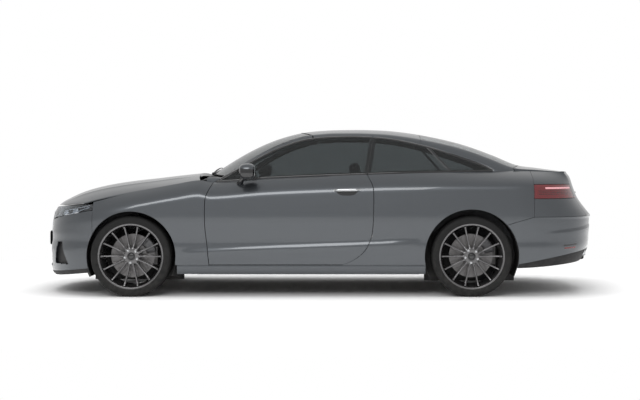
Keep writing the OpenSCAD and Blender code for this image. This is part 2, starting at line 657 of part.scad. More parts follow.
module front_frame() {
    color("dimgray") {
        both() {
            // long rail, inner wing and wheel housing top
            member([-2250, -RAIL_Y[1], 380], [-1060, -RAIL_Y[0], 500]);
            member([-1990, -RAIL_Y[1], 500], [-1060, -RAIL_Y[1] + 30, house_top + 22]);
            member([-1830, -825, house_top - 23], [-1120, -RAIL_Y[1], house_top]);
            // hinge post with its two door hinges
            member([-1060, -POST_Y, 205], [-900, -690, 900]);
            for (z = HINGE_Z) {
                translate([px(-960), -py(POST_Y), pz(z) - 20]) mirror([0, 1, 0])
                    cube([hinge_x + 12 - px(-960), 20, 40]);
                translate([hinge_x - 12, hinge_y, pz(z) - 20]) cube([24, -py(POST_Y) - hinge_y, 40]);
                translate([hinge_x, hinge_y, pz(z) - 20]) cylinder(r = 12, h = 40, $fn = 32);
                translate([hinge_x, hinge_y, pz(z) - 50]) cylinder(r = pin_r, h = 100, $fn = 32);
            }
            // bonnet hinge bracket with its pin
            translate([hood_pin[0] - 15, -hood_arm_y + 13, pz(900)]) cube([30, 12, hood_pin[1] + 14 - pz(900)]);
            translate([hood_pin[0], 0, hood_pin[1]]) rotate([90, 0, 0])
                translate([0, 0, hood_arm_y - 14]) cylinder(r = pin_r, h = 28, $fn = 32);
        }
        member([-1060, -POST_Y, 180], [-1030, POST_Y, 900]);
        member([-1060, -POST_Y, 880], [-900, POST_Y, 900]);
        // crash beam with the socket for a towing eye
        difference() {
            member([-2290, -RAIL_Y[1], 420], [-2250, RAIL_Y[1], 500]);
            translate([px(-2291), py(TOW_Y), pz(460)]) rotate([0, 90, 0])
                cylinder(r = tow_r, h = px(-2249) - px(-2291), $fn = 48);
        }
    }
}

// Wheel housing walls, boot floor and the shelf under the rear window
module rear_frame() {
    color("dimgray") {
        both() {
            member([860, -600, 240], [1740, -570, house_top + 12]);
            member([880, -840, house_top - 13], [1720, -600, house_top + 12]);
            member([1740, -600, 278], [2200, -570, 660]);
            // boot hinge bracket with its pin
            translate([boot_pin[0] - 15, -boot_arm_y + 14, pz(900)]) cube([30, 12, boot_pin[1] + 14 - pz(900)]);
            translate([boot_pin[0], 0, boot_pin[1]]) rotate([90, 0, 0])
                translate([0, 0, boot_arm_y - 15]) cylinder(r = pin_r, h = 30, $fn = 32);
        }
        member([1060, -570, deck], [1740, 570, deck + 20]);
        member([1740, -570, 278], [2200, 570, 298]);
        member([1710, -570, 278], [1740, 570, deck]);
        // back panel with the socket for a towing eye
        difference() {
            member([2180, -570, 298], [2200, 570, 660]);
            translate([px(2179), py(TOW_Y), pz(460)]) rotate([0, 90, 0])
                cylinder(r = tow_r, h = px(2201) - px(2179), $fn = 48);
        }
        member([1420, -600, 880], [1600, 600, 900]);
        both() member([1420, -600, house_top + 12], [1450, -570, 880]);
    }
}

module floor_pan() {
    color("dimgray") {
        member([-1030, -SILL_Y, 180], [860, SILL_Y, 205]);
        both() member([-900, -SILL_Y, 205], [860, -700, 262]);
        // tunnel over the exhaust and drive shaft
        member([-1030, -150, 205], [860, -110, 330]);
        member([-1030, 110, 205], [860, 150, 330]);
        member([-1030, -150, 330], [860, 150, 350]);
        // seat runners and the step under the rear bench
        both() for (y = [250, 600])
            member([-300, -y - 15, 205], [120, 15 - y, 235.7]);
        member([540, -570, 205], [565, 570, deck + 20]);
        member([565, -570, deck], [1060, 570, deck + 20]);
    }
}

ENGINE_Z = [330, 800];

module engine() {
    color("darkgray") block([-1950, -300, ENGINE_Z[0]], [-1150, 300, ENGINE_Z[1]]);
}

// ---- Running gear ----

KINGPIN_Y = 700;
kingpin_y = py(KINGPIN_Y);
// Heights of the lower and upper ball joints, measured from the axle
JOINT_Z = [-105, 155];
hub_face = 24;

// Wishbone from a pair of inner mounts to a ball joint
module wishbone(x, y, z, inner_y, spread, t) {
    translate([x, 0, z]) linear_extrude(t) difference() {
        polygon([[-spread, -inner_y], [spread, -inner_y], [30, -y - 20], [-30, -y - 20]]);
        polygon([[-spread + 50, -inner_y - 25], [spread - 50, -inner_y - 25], [18, -y + 70], [-18, -y + 70]]);
    }
}

module front_subframe() {
    low = axle_z + JOINT_Z[0] - running_gap - 26;
    translate([front_axle - 190, -py(450), low]) cube([380, 2 * py(450), 40]);
    both() {
        wishbone(front_axle, kingpin_y, low, py(449), 170, 26);
        wishbone(front_axle, kingpin_y, axle_z + JOINT_Z[1] + running_gap, py(RAIL_Y[1]), 120, 22);
        translate([front_axle - 40, -py(430), low + 40]) cube([80, py(40), pz(380) - low - 40]);
        // engine mounts
        translate([front_axle - 60, -py(290), low + 40]) cube([120, py(90), pz(ENGINE_Z[0]) - low - 40]);
    }
}

module rear_subframe() {
    low = axle_z + JOINT_Z[0] - 26;
    translate([rear_axle - 200, -py(450), low]) cube([400, 2 * py(450), 40]);
    both() {
        wishbone(rear_axle, kingpin_y, low, py(449), 180, 26);
        wishbone(rear_axle, kingpin_y, axle_z + JOINT_Z[1], py(600), 90, 22);
        translate([rear_axle - 60, -py(450), low + 40]) cube([120, py(60), pz(deck) - low - 40]);
    }
    // final drive
    translate([rear_axle - 130, -110, low + 40]) cube([260, 220, 60]);
}

module subframes() {
    color("dimgray") {
        front_subframe();
        rear_subframe();
    }
}

module knuckle(x, track) {
    out = track / 2 - kingpin_y;
    color("dimgray") translate([x, -kingpin_y, axle_z]) {
        translate([-32, -20, JOINT_Z[0]]) cube([64, 45, JOINT_Z[1] - JOINT_Z[0]]);
        rotate([90, 0, 0]) cylinder(r = spindle_r, h = out + 24, $fn = 48);
        // caliper behind the axle, astride the disc
        rotate([90, 0, 0]) difference() {
            translate([disc_d / 2 - 62, -75, -20]) cube([84, 150, out + 22]);
            translate([0, 0, out - hub_face - disc_t - 6]) cylinder(r = disc_d / 2 + 5, h = disc_t + 12, $fn = 64);
        }
        translate([20, -15, -40]) cube([disc_d / 2 - 70, 30, 80]);
    }
}

module left_knuckle() {
    knuckle(front_axle, front_track);
}
module right_knuckle() {
    mirror([0, 1, 0]) knuckle(front_axle, front_track);
}
module rear_knuckles() {
    both() knuckle(rear_axle, rear_track);
}

module at_wheel(x, track) {
    translate([x, -track / 2, axle_z]) rotate([90, 0, 0]) children();
}

// Wheel pieces lie about their own axis, +Z outwards, the middle plane at zero
module disc() {
    color("dimgray") translate([0, 0, -hub_face]) difference() {
        union() {
            translate([0, 0, -disc_t]) cylinder(d = disc_d, h = disc_t, $fn = 96);
            cylinder(r = 82, h = hub_face + 8, $fn = 64);
        }
        translate([0, 0, -disc_t - 1]) cylinder(r = spindle_r + running_gap, h = disc_t + hub_face + 10, $fn = 48);
        translate([0, 0, -disc_t - 1]) cylinder(r = 76, h = disc_t + hub_face - 5, $fn = 64);
    }
}

bead_r = rim_d / 2 - 18;
module rim(w) {
    half = w / 2;
    color("slategray") {
        rotate_extrude($fn = 120) polygon([
            [bead_r - 18, -half + 14], [bead_r, -half + 14], [bead_r, -half + 12], [rim_d / 2, -half + 12],
            [rim_d / 2, -half + 4], [bead_r - 8, -half + 4], [bead_r - 26, -half + 30], [bead_r - 26, half - 34],
            [bead_r - 8, half - 4], [rim_d / 2, half - 4], [rim_d / 2, half - 12], [bead_r, half - 12],
            [bead_r - 18, half - 40], [bead_r - 18, -half + 40], [bead_r - 10, -half + 14]]);
        difference() {
            union() {
                translate([0, 0, 8]) cylinder(r = 84, h = 30, $fn = 64);
                for (i = [0:spokes - 1]) rotate(360 * i / spokes)
                    rotate([90, 0, 0]) translate([0, 0, -7]) linear_extrude(14) polygon([
                        [70, 12], [bead_r - 22, half - 46], [bead_r - 22, half - 22], [70, 36]]);
            }
            cylinder(r = spindle_r + 4, h = 30, $fn = 48);
            for (i = [0:4]) rotate(72 * i + 36) translate([57, 0, 0]) cylinder(r = 8, h = 60, $fn = 24);
        }
    }
}

module tyre(w) {
    half = w / 2;
    gap = 0.3;
    color("black") rotate_extrude($fn = 120) polygon(concat(
        [[bead_r + gap, -half + 12.1], [rim_d / 2, -half + 12.1], [rim_d / 2 + 8, -half + 5],
         [rim_d / 2 + 26, -half], [axle_z - 22, -half + 2]],
        [for (a = [0:30:90]) [axle_z - 22 + 22 * sin(a), -half + 24 - 22 * cos(a)]],
        [for (a = [90:-30:0]) [axle_z - 22 + 22 * sin(a), half - 24 + 22 * cos(a)]],
        [[axle_z - 22, half - 2], [rim_d / 2 + 26, half], [rim_d / 2 + 8, half - 5], [rim_d / 2, half - 12.1],
         [bead_r + gap, half - 12.1], [bead_r + gap, half - 30], [bead_r + 22, half - 26], [axle_z - 14, half - 34],
         [axle_z - 14, -half + 34], [bead_r + 22, -half + 26], [bead_r + gap, -half + 30]]));
}

module front_left_disc() at_wheel(front_axle, front_track) disc();
module front_right_disc() mirror([0, 1, 0]) at_wheel(front_axle, front_track) disc();
module rear_left_disc() at_wheel(rear_axle, rear_track) disc();
module rear_right_disc() mirror([0, 1, 0]) at_wheel(rear_axle, rear_track) disc();
module front_left_rim() at_wheel(front_axle, front_track) rim(front_tyre_w);
module front_right_rim() mirror([0, 1, 0]) at_wheel(front_axle, front_track) rim(front_tyre_w);
module rear_left_rim() at_wheel(rear_axle, rear_track) rim(rear_tyre_w);
module rear_right_rim() mirror([0, 1, 0]) at_wheel(rear_axle, rear_track) rim(rear_tyre_w);
module front_left_tyre() at_wheel(front_axle, front_track) tyre(front_tyre_w);
module front_right_tyre() mirror([0, 1, 0]) at_wheel(front_axle, front_track) tyre(front_tyre_w);
module rear_left_tyre() at_wheel(rear_axle, rear_track) tyre(rear_tyre_w);
module rear_right_tyre() mirror([0, 1, 0]) at_wheel(rear_axle, rear_track) tyre(rear_tyre_w);

PIPE_Z = 150;
PIPE_Y = 30;
TAILPIPE_Z = 232;

module exhaust() {
    color("silver") {
        translate([px(-1000), -PIPE_Y, pz(PIPE_Z)]) rotate([0, 90, 0])
            cylinder(r = 26, h = px(1504.8) - px(-1000), $fn = 32);
        // silencer across the car behind the axle, with two short outlets
        member([1505, -300, 122], [1590, 300, deck]);
        both() translate([px(1590), -py(220), pz(TAILPIPE_Z)]) rotate([0, 90, 0]) difference() {
            cylinder(r = 24, h = px(1700) - px(1590), $fn = 48);
            translate([0, 0, 20]) cylinder(r = 21, h = px(1700) - px(1590), $fn = 48);
        }
    }
}

// ---- Fittings and cabin ----

MIRROR_X = -640;
module door_mirror() {
    z = curve(MIRROR_X, TOP_Z);
    color("gray") {
        slab(2, 2,
             function (u, v) skin(mix(-720, -640, u), z - mix(50, 14, v), -34),
             function (u, v) skin(mix(-720, -640, u), z - mix(50, 14, v), 3));
        hull() {
            translate(place(skin(-680, z - 30, -24))) sphere(r = 12, $fn = 16);
            translate(place([-640, -870, z + 40])) sphere(r = 16, $fn = 16);
        }
        hull() for (x = [-625, -545], y = [-885, -985], s = [z + 38, z + 108])
            translate(place([x, y, s])) sphere(r = x < -600 ? 24 : 36, $fn = 16);
    }
}
module left_mirror() door_mirror();
module right_mirror() mirror([0, 1, 0]) door_mirror();

module dashboard() {
    color("black") {
        translate(wheel_pos) rotate([0, -COLUMN_TILT, 0])
            translate([0, 0, COLUMN_L + running_gap]) cylinder(r = 26, h = 100, $fn = 32);
        translate([0, py(680), 0]) rotate([90, 0, 0]) linear_extrude(2 * py(680)) polygon([
            [px(-1029.5), pz(560)], [px(-760), pz(600)], [px(-640), pz(700)], [px(-620), pz(830)],
            [px(-700), pz(905)], [px(-860), pz(935)], [px(-899), pz(935)], [px(-899), pz(879.5)],
            [px(-1029.5), pz(879.5)]]);
    }
}

wheel_pos = [px(-480), -py(370), pz(800)];
COLUMN_TILT = 112;
COLUMN_L = 150;
module steering_wheel() {
    color("black") translate(wheel_pos) rotate([0, -COLUMN_TILT, 0]) {
        rotate_extrude($fn = 72) translate([175, 0]) circle(r = 15, $fn = 24);
        translate([0, 0, -10]) cylinder(r = 48, h = 40, $fn = 32);
        for (a = [90, 180, 270]) rotate(a) translate([30, -16, -6]) cube([138, 32, 12]);
        cylinder(r = 20, h = COLUMN_L, $fn = 32);
    }
}

module seat(x, y, w, back_top, depth) {
    translate([px(x), -py(y) + w / 2, 0]) rotate([90, 0, 0]) linear_extrude(w) polygon([
        [0, pz(236)], [depth, pz(236)], [depth + 40, pz(330)], [depth + 160, back_top - 190], [depth + 190, back_top - 30],
        [depth + 160, back_top], [depth + 110, back_top - 10], [depth + 60, back_top - 190],
        [depth - 80, pz(470)], [40, pz(480)], [0, pz(440)]]);
}
module seats() {
    color("black") {
        both() seat(-350, 400, 500, pz(1120), 480);
        // rear bench
        translate([0, py(560), 0]) rotate([90, 0, 0]) linear_extrude(2 * py(560)) polygon([
            [px(560), pz(deck + 20.5)], [px(1150), pz(deck + 20.5)], [px(1340), pz(870)], [px(1320), pz(930)],
            [px(1260), pz(940)], [px(1090), pz(520)], [px(600), pz(500)], [px(550), pz(460)]]);
    }
}

floor_pan();
side_skirts();
front_frame();
rear_frame();
engine();
exhaust();
subframes();
front_bumper();
rear_bumper();
front_wings();
quarter_panels();
screen_pillars();
roof();
windscreen();
rear_window();
quarter_glass();
head_lamps();
tail_lamps();
grille();
wiper_tray();
bonnet();
boot_lid();
left_door();
right_door();
left_door_glass();
right_door_glass();
left_mirror();
right_mirror();
dashboard();
steering_wheel();
seats();
left_knuckle();
right_knuckle();
rear_knuckles();
front_left_tyre();
front_right_tyre();
rear_left_tyre();
rear_right_tyre();
front_left_rim();
front_right_rim();
rear_left_rim();
rear_right_rim();
front_left_disc();
front_right_disc();
rear_left_disc();
rear_right_disc();
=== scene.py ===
"""Two-door coupe car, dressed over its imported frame.

Metres, +Z up, nose towards -X, left side towards -Y, origin on the ground below the middle of the car.
The body panels are parts of one skin. Its shape tables are in millimetres, as on a body drawing.
"""

from __future__ import annotations

import logging
import math
from dataclasses import dataclass, field
from enum import Enum
from typing import Callable, Sequence

import bmesh
import bpy
import mathutils
import numpy as np
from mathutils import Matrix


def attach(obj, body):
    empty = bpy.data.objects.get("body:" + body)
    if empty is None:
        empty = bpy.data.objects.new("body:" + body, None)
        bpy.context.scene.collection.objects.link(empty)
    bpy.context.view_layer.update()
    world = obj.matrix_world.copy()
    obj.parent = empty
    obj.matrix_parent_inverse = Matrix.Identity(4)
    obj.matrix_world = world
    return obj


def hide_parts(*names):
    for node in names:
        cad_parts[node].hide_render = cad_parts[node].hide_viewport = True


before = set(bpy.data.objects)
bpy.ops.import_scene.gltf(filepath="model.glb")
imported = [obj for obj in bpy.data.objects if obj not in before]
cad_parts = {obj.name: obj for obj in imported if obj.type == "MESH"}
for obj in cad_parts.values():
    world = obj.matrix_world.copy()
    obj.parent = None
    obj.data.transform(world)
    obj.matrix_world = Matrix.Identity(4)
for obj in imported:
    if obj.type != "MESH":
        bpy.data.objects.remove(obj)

log = logging.getLogger("coupe")

Array = np.ndarray
Surface = Callable[[Array, Array], Array]
Edge = Callable[[Array], Array]
Rows = Callable[[Array, Array], tuple[Array, Array]]
Table = Sequence[Sequence[float]]

MM = 0.001
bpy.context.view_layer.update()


class Side(Enum):
    """A side of the car, as the sign of its y."""

    LEFT = -1
    RIGHT = 1


class End(Enum):
    """An end of the car, as the sign of its x."""

    FRONT = -1
    REAR = 1


# ---- Curves and grids ----


def curve(x: Array | float, table: Table) -> Array:
    """A smooth curve through points, level beyond its ends.

    Between two points it is the cubic whose slope at each point is that of the line
    from the point before to the point after.

    Args:
        x: where to read the curve.
        table: points [x, y] sorted by x.

    Returns:
        The curve's value at each x.
    """
    points = np.asarray(table, float)
    xs, ys = points[:, 0], points[:, 1]
    last = len(xs) - 1
    before, after = np.maximum(np.arange(last + 1) - 1, 0), np.minimum(np.arange(last + 1) + 1, last)
    slope = (ys[after] - ys[before]) / (xs[after] - xs[before])
    x = np.asarray(x, float)
    i = np.clip(np.searchsorted(xs, x, side="right") - 1, 0, last - 1)
    h = xs[i + 1] - xs[i]
    t = np.clip((x - xs[i]) / h, 0, 1)
    return (
        (2 * t**3 - 3 * t**2 + 1) * ys[i]
        + (t**3 - 2 * t**2 + t) * h * slope[i]
        + (3 * t**2 - 2 * t**3) * ys[i + 1]
        + (t**3 - t**2) * h * slope[i + 1]
    )


def line(x: Array | float, table: Table) -> Array:
    """Straight lines through points [x, y] sorted by x, level beyond its ends."""
    points = np.asarray(table, float)
    return np.interp(x, points[:, 0], points[:, 1])


def mix(a: Array | float, b: Array | float, t: Array | float) -> Array:
    """The value a share t of the way from a to b."""
    return a + (b - a) * t


def smooth(t: Array | float) -> Array:
    """A share eased at both ends: 3t^2 - 2t^3 with t held between 0 and 1."""
    t = np.clip(t, 0, 1)
    return t * t * (3 - 2 * t)


def point(x: Array, y: Array, z: Array) -> Array:
    """Coordinates joined into points, with the last axis x, y, z."""
    return np.stack(np.broadcast_arrays(x, y, z), axis=-1).astype(float)


def grid(nu: int, nv: int) -> tuple[Array, Array]:
    """Even parameters u and v from 0 to 1 on a grid of nv + 1 rows and nu + 1 columns."""
    return np.meshgrid(np.linspace(0, 1, nu + 1), np.linspace(0, 1, nv + 1))


def grid_faces(nu: int, nv: int, around: bool = False) -> Array:
    """Quads of a grid of points.

    Args:
        nu: number of quads in a row.
        nv: number of rows of quads.
        around: True where each row closes on itself and has nu points, not nu + 1.

    Returns:
        Point indices, four for each quad.
    """
    row = nu if around else nu + 1
    i, j = np.meshgrid(np.arange(nu), np.arange(nv))
    right = (i + 1) % row
    corners = [j * row + i, j * row + right, (j + 1) * row + right, (j + 1) * row + i]
    return np.stack(corners, -1).reshape(-1, 4)


@dataclass
class Solid:
    """Points and quads or triangles of one piece, in metres, with a finish number for each face."""

    points: Array
    faces: list[Array]
    finish: list[int] = field(default_factory=list)

    def __post_init__(self) -> None:
        """Gives every face block a finish number."""
        self.finish = self.finish or [0] * len(self.faces)

    def mirrored(self) -> "Solid":
        """The same solid on the other side of the car, still facing outwards."""
        return Solid(self.points * [1, -1, 1], [f[:, ::-1] for f in self.faces], list(self.finish))

    def moved(self, step: Sequence[float]) -> "Solid":
        """The same solid moved by a step in metres."""
        return Solid(self.points + np.asarray(step, float), self.faces, list(self.finish))

    def turned(self, axis: int, angle: float) -> "Solid":
        """The same solid turned about a coordinate axis by an angle in radians."""
        a, b = (axis + 1) % 3, (axis + 2) % 3
        points = self.points.copy()
        points[:, a] = self.points[:, a] * math.cos(angle) - self.points[:, b] * math.sin(angle)
        points[:, b] = self.points[:, a] * math.sin(angle) + self.points[:, b] * math.cos(angle)
        return Solid(points, self.faces, list(self.finish))

    def painted(self, number: int) -> "Solid":
        """The same solid with one finish number on all its faces."""
        return Solid(self.points, self.faces, [number] * len(self.faces))


def join(solids: Sequence[Solid]) -> Solid:
    """Several solids as one piece."""
    starts = np.cumsum([0] + [len(s.points) for s in solids[:-1]])
    return Solid(
        np.concatenate([s.points for s in solids]),
        [f + start for s, start in zip(solids, starts) for f in s.faces],
        [n for s in solids for n in s.finish],
    )


def both(solid: Solid) -> Solid:
    """A solid and its mirror image as one piece."""
    return join([solid, solid.mirrored()])


def slab(nu: int, nv: int, outer: Surface, inner: Surface, flip: bool = False, lining: int = 0) -> Solid:
    """A closed slab: a grid on its outer surface, a grid on its inner one, and walls along the four edges.

    Args:
        nu: cells along u.
        nv: cells along v.
        outer: outer surface, taking u and v from 0 to 1, in millimetres.
        inner: inner surface, in millimetres.
        flip: True for a grid that runs the other way round.
        lining: finish number of the inner face.

    Returns:
        The slab, in metres, facing outwards.
    """
    u, v = grid(nu, nv)
    count = (nu + 1) * (nv + 1)
    points = np.concatenate([outer(u, v).reshape(-1, 3), inner(u, v).reshape(-1, 3)]) * MM
    top = grid_faces(nu, nv)
    i, j = np.arange(nu), np.arange(nv)
    last, row = nv * (nu + 1), nu + 1
    start = np.concatenate([i, j * row + nu, last + i[::-1] + 1, (j[::-1] + 1) * row])
    end = np.concatenate([i + 1, (j + 1) * row + nu, last + i[::-1], j[::-1] * row])
    walls = np.stack([end, start, start + count, end + count], -1)
    faces = [top, walls, top[:, ::-1] + count]
    if flip:
        faces = [f[:, ::-1] for f in faces]
    return Solid(points, faces, [0, 0, lining])


def ring(profile: Array, count: int) -> Solid:
    """A profile turned once about the Z axis.

    Args:
        profile: points [radius, height] in metres, going round so that the solid is on the left.
        count: number of steps round the axis.

    Returns:
        The turned solid. Each point is (r cos a, r sin a, h).
    """
    a = np.arange(count) * 2 * np.pi / count
    r, h = profile[:, 0][:, None], profile[:, 1][:, None]
    points = point(r * np.cos(a), r * np.sin(a), h + 0 * a)
    faces = grid_faces(count, len(points), around=True) % (len(points) * count)
    return Solid(points.reshape(-1, 3), [faces])


def tube(path: Array, section: Array, width: Array | float = 1.0, up: Sequence[float] = (0, 0, 1)) -> Solid:
    """A closed section carried along a path, with flat ends.

    Args:
        path: points along the middle, in metres.
        section: closed outline [sideways, upwards] in metres, anticlockwise.
        width: scale of the section at each path point.
        up: direction that the section's second axis leans to.

    Returns:
        The solid. At each point the section stands square to the path's own direction.
    """
    along = np.gradient(path, axis=0)
    along /= np.linalg.norm(along, axis=1, keepdims=True)
    side = np.cross(np.asarray(up, float), along)
    side /= np.linalg.norm(side, axis=1, keepdims=True)
    top = np.cross(along, side)
    scale = np.broadcast_to(np.asarray(width, float), (len(path),))[:, None, None]
    points = path[:, None] + scale * (
        section[None, :, :1] * side[:, None] + section[None, :, 1:] * top[:, None]
    )
    n, rows = len(section), len(path)
    middle = points.mean(axis=1)[[0, -1]]
    points = np.concatenate([points.reshape(-1, 3), middle])
    i = np.arange(n)
    start = np.stack([(i + 1) % n, i, np.full(n, n * rows)], -1)
    stop = np.stack([i, (i + 1) % n, np.full(n, n * rows + 1)], -1) + [[n * (rows - 1), n * (rows - 1), 0]]
    return Solid(points, [grid_faces(n, rows - 1, around=True), start, stop])


def oval(width: float, height: float, count: int, power: float = 2.0) -> Array:
    """A closed outline |x/a|^p + |y/b|^p = 1, from round (2) towards square (8), anticlockwise."""
    a = np.arange(count) * 2 * np.pi / count
    shape = 2 / power
    x = np.sign(np.cos(a)) * np.abs(np.cos(a)) ** shape * width / 2
    y = np.sign(np.sin(a)) * np.abs(np.sin(a)) ** shape * height / 2
    return np.stack([x, y], -1)


def pillow(size: Sequence[float], power: float, count: int = 32) -> Solid:
    """A rounded block with |x/a|^p + |y/b|^p + |z/c|^p = 1 about its own middle.

    Args:
        size: whole length, width and height in metres.
        power: from 2, an ellipsoid, towards 8, nearly square.
        count: steps round it.

    Returns:
        The block, as a grid over two angles closed at both poles.
    """
    rows = count // 2
    a = np.arange(count) * 2 * np.pi / count
    b = np.linspace(-np.pi / 2, np.pi / 2, rows + 1)[1:-1, None]

    def bent(value: Array) -> Array:
        """A sine or cosine with its size raised to 2 / power."""
        return np.sign(value) * np.abs(value) ** (2 / power)

    half = np.asarray(size, float) / 2
    points = point(
        bent(np.cos(b)) * bent(np.cos(a)), bent(np.cos(b)) * bent(np.sin(a)), bent(np.sin(b)) + 0 * a
    ) * half
    body = points.reshape(-1, 3)
    n, last = count, len(body)
    body = np.concatenate([body, [[0, 0, -half[2]], [0, 0, half[2]]]])
    i = np.arange(n)
    low = np.stack([(i + 1) % n, i, np.full(n, last)], -1)
    high = np.stack([i, (i + 1) % n, np.full(n, last + 1)], -1) + [[last - n, last - n, 0]]
    return Solid(body, [grid_faces(n, rows - 2, around=True), low, high])


def bar(low: Sequence[float], high: Sequence[float]) -> Solid:
    """A straight block between two corners, with rounded long edges and ends."""
    low, high = np.asarray(low, float), np.asarray(high, float)
    size = high - low
    return pillow(size, 9, 40).moved((low + high) / 2)


# ---- Skin of the body, in millimetres ----


@dataclass
class Skin:
    """The outer skin of the body: sides that round into the nose and the tail, and the glasshouse above."""

    length: float = 4830
    nose_start: float = -1515
    nose_power: float = 2.6
    tail_start: float = 1610
    tail_power: float = 2.8
    shoulder_height: float = 165
    shoulder_power: float = 2.4
    sweep_y: float = 650
    crown_y: float = 600
    lean: float = 1.62
    blend: float = 55
    nose: Table = (
        (120, -2340), (160, -2388), (205, -2413), (370, -2415), (450, -2402), (535, -2400), (680, -2379),
        (752, -2342), (795, -2288),
    )
    tail: Table = (
        (200, 2250), (300, 2340), (400, 2392), (520, 2398), (650, 2406), (672, 2415), (690, 2398),
        (818, 2300),
        (920, 2256), (1005, 2226), (1045, 2195),
    )
    top_z: Table = (
        (-2200, 770), (-1960, 786), (-1700, 848), (-1483, 896), (-1200, 950), (-1010, 980), (-890, 962),
        (-414, 996), (415, 1028), (1000, 1045), (1504, 1055), (1800, 1060), (2195, 1040),
    )
    top_y: Table = (
        (-2200, 790), (-1960, 826), (-1700, 815), (-1483, 800), (-1010, 792), (-890, 784), (-414, 805),
        (415, 815),
        (1000, 785), (1504, 705), (1760, 650), (2195, 608),
    )
    half_width: Table = (
        (150, 862), (190, 878), (270, 898), (400, 914), (470, 914), (560, 921), (650, 928), (760, 928),
        (880, 921),
        (1060, 905),
    )
    centre: Table = (
        (-985, 1022), (-751, 1172), (-569, 1270), (-387, 1345), (-174, 1401), (39, 1424), (250, 1430),
        (430, 1429),
        (645, 1418), (902, 1383), (1177, 1325), (1370, 1268), (1562, 1196), (1770, 1112), (1947, 1086),
        (2140, 1058),
        (2195, 1047),
    )
    sweep: Table = ((-1000, 140), (-300, 125), (200, 0), (800, -60), (1770, -90), (2195, 0))
    crown: Table = ((-1000, 12), (-400, 35), (0, 50), (900, 50), (1700, 25), (2195, 7))
    glass_top: Table = (
        (-890, 962), (-702, 1069), (-509, 1176), (-340, 1258), (-142, 1326), (58, 1352), (346, 1358),
        (632, 1334),
        (875, 1284), (1013, 1246), (1254, 1167), (1420, 1107), (1504, 1062),
    )
    belt_in: Table = ((1350, 12), (1560, 1))
    crease: Table = ((-1250, 400), (-1088, 408), (-470, 438), (530, 480), (900, 503))
    crease_depth: float = 9

    @property
    def nose_end(self) -> float:
        """Distance along the skin of the middle of the nose."""
        return -self.length / 2

    @property
    def tail_end(self) -> float:
        """Distance along the skin of the middle of the tail."""
        return self.length / 2

    def section(self, z: Array) -> Array:
        """Half width at height z, where the shoulder has not begun to turn in."""
        return curve(z, self.half_width)

    def shoulder(self, x: Array, z: Array, width: Array) -> Array:
        """A half width turned in, by a power of the height over the shoulder, to meet the top edge."""
        t = np.maximum(0, (z - curve(x, self.top_z) + self.shoulder_height) / self.shoulder_height)
        return width - np.maximum(0, width - curve(x, self.top_y)) * t**self.shoulder_power

    def relief(self, x: Array, z: Array) -> Array:
        """How far the flank stands out of its plain section.

        Below the rising crease it swells by crease_depth over 40 mm and dies away over 110 mm more;
        both ends of the crease fade over 250 mm. A second, softer swelling follows the shoulder.
        """
        below = curve(x, self.crease) - z
        ends = smooth((x + 1250) / 250) * smooth((960 - x) / 350)
        fold = smooth(below / 40) * (1 - smooth((below - 40) / 110))
        edge = curve(x, self.top_z) - 118
        haunch = np.exp(-(((z - edge) / 34) ** 2)) * smooth((x + 1900) / 500) * smooth((2150 - x) / 400)
        return ends * fold * self.crease_depth + 3.0 * haunch

    def skin(self, s: Array, z: Array, t: Array | float = 0.0) -> Array:
        """A point of the left flank.

        Between nose_start and tail_start it is a plain section. Beyond them x and y follow a
        superellipse: with angle q, x goes as sin(q)^(2/p) and y as cos(q)^(2/p).

        Args:
            s: distance along the flank.
            z: height.
            t: depth inside the skin.

        Returns:
            Points in millimetres.
        """
        s, z, t = np.broadcast_arrays(np.asarray(s, float), np.asarray(z, float), np.asarray(t, float))
        front = self._end(s, z, t, End.FRONT)
        rear = self._end(s, z, t, End.REAR)
        out = self.relief(s, z) * np.clip(1 - t / 12, 0, 1)
        side = point(s, t - out - self.shoulder(s, z, self.section(z)), z)
        return np.where(
            (s < self.nose_start)[..., None], front, np.where((s > self.tail_start)[..., None], rear, side)
        )

    def _end(self, s: Array, z: Array, t: Array, end: End) -> Array:
        """The flank's points beyond the start of one end's rounding."""
        start, stop, power, tip = self._rounding(z, end)
        q = np.radians(np.clip(90 * (s - start) / (stop - start), 0, 90))
        reach = np.sin(q) ** (2 / power)
        share = np.cos(q) ** (2 / power)
        x = start + end.value * (np.abs(tip - start) * reach - t * np.maximum(0, (np.degrees(q) - 30) / 60))
        out = self.relief(x, z) * np.clip(1 - t / 12, 0, 1) * share
        return point(x, t * share - out - self.shoulder(x, z, self.section(z) * share), z)

    def _rounding(self, z: Array, end: End) -> tuple[float, float, float, Array]:
        """Start, end, power and tip station of one end's rounding at height z."""
        if end is End.FRONT:
            return self.nose_start, self.nose_end, self.nose_power, curve(z, self.nose)
        return self.tail_start, self.tail_end, self.tail_power, curve(z, self.tail)

    def along(self, x: Array, z: Array) -> Array:
        """Distance along the flank of station x at height z."""
        x, z = np.broadcast_arrays(np.asarray(x, float), np.asarray(z, float))
        result = x.copy()
        for end in End:
            start, stop, power, tip = self._rounding(z, end)
            share = np.clip((x - start) / (tip - start), 0, 1)
            q = np.degrees(np.arcsin(np.minimum(1, share ** (power / 2))))
            result = np.where((x - start) * end.value > 0, start + (stop - start) / 90 * q, result)
        return result

    def along_width(self, y: float, z: Array, end: End) -> Array:
        """Distance along the flank where its half width is y, at one end."""
        start, stop, power, _ = self._rounding(z, end)
        q = np.degrees(np.arccos(np.clip(y / self.section(z), 0, 1) ** (power / 2)))
        return start + (stop - start) / 90 * q

    def belt_y(self, x: Array) -> Array:
        """Half width of the belt line, where the side glass begins."""
        return curve(x, self.top_y) - curve(x, self.belt_in)

    def side_glass_y(self, x: Array, z: Array) -> Array:
        """Half width of the side windows at height z: they lean in by one in lean."""
        return self.belt_y(x) - (z - curve(x, self.top_z)) / self.lean

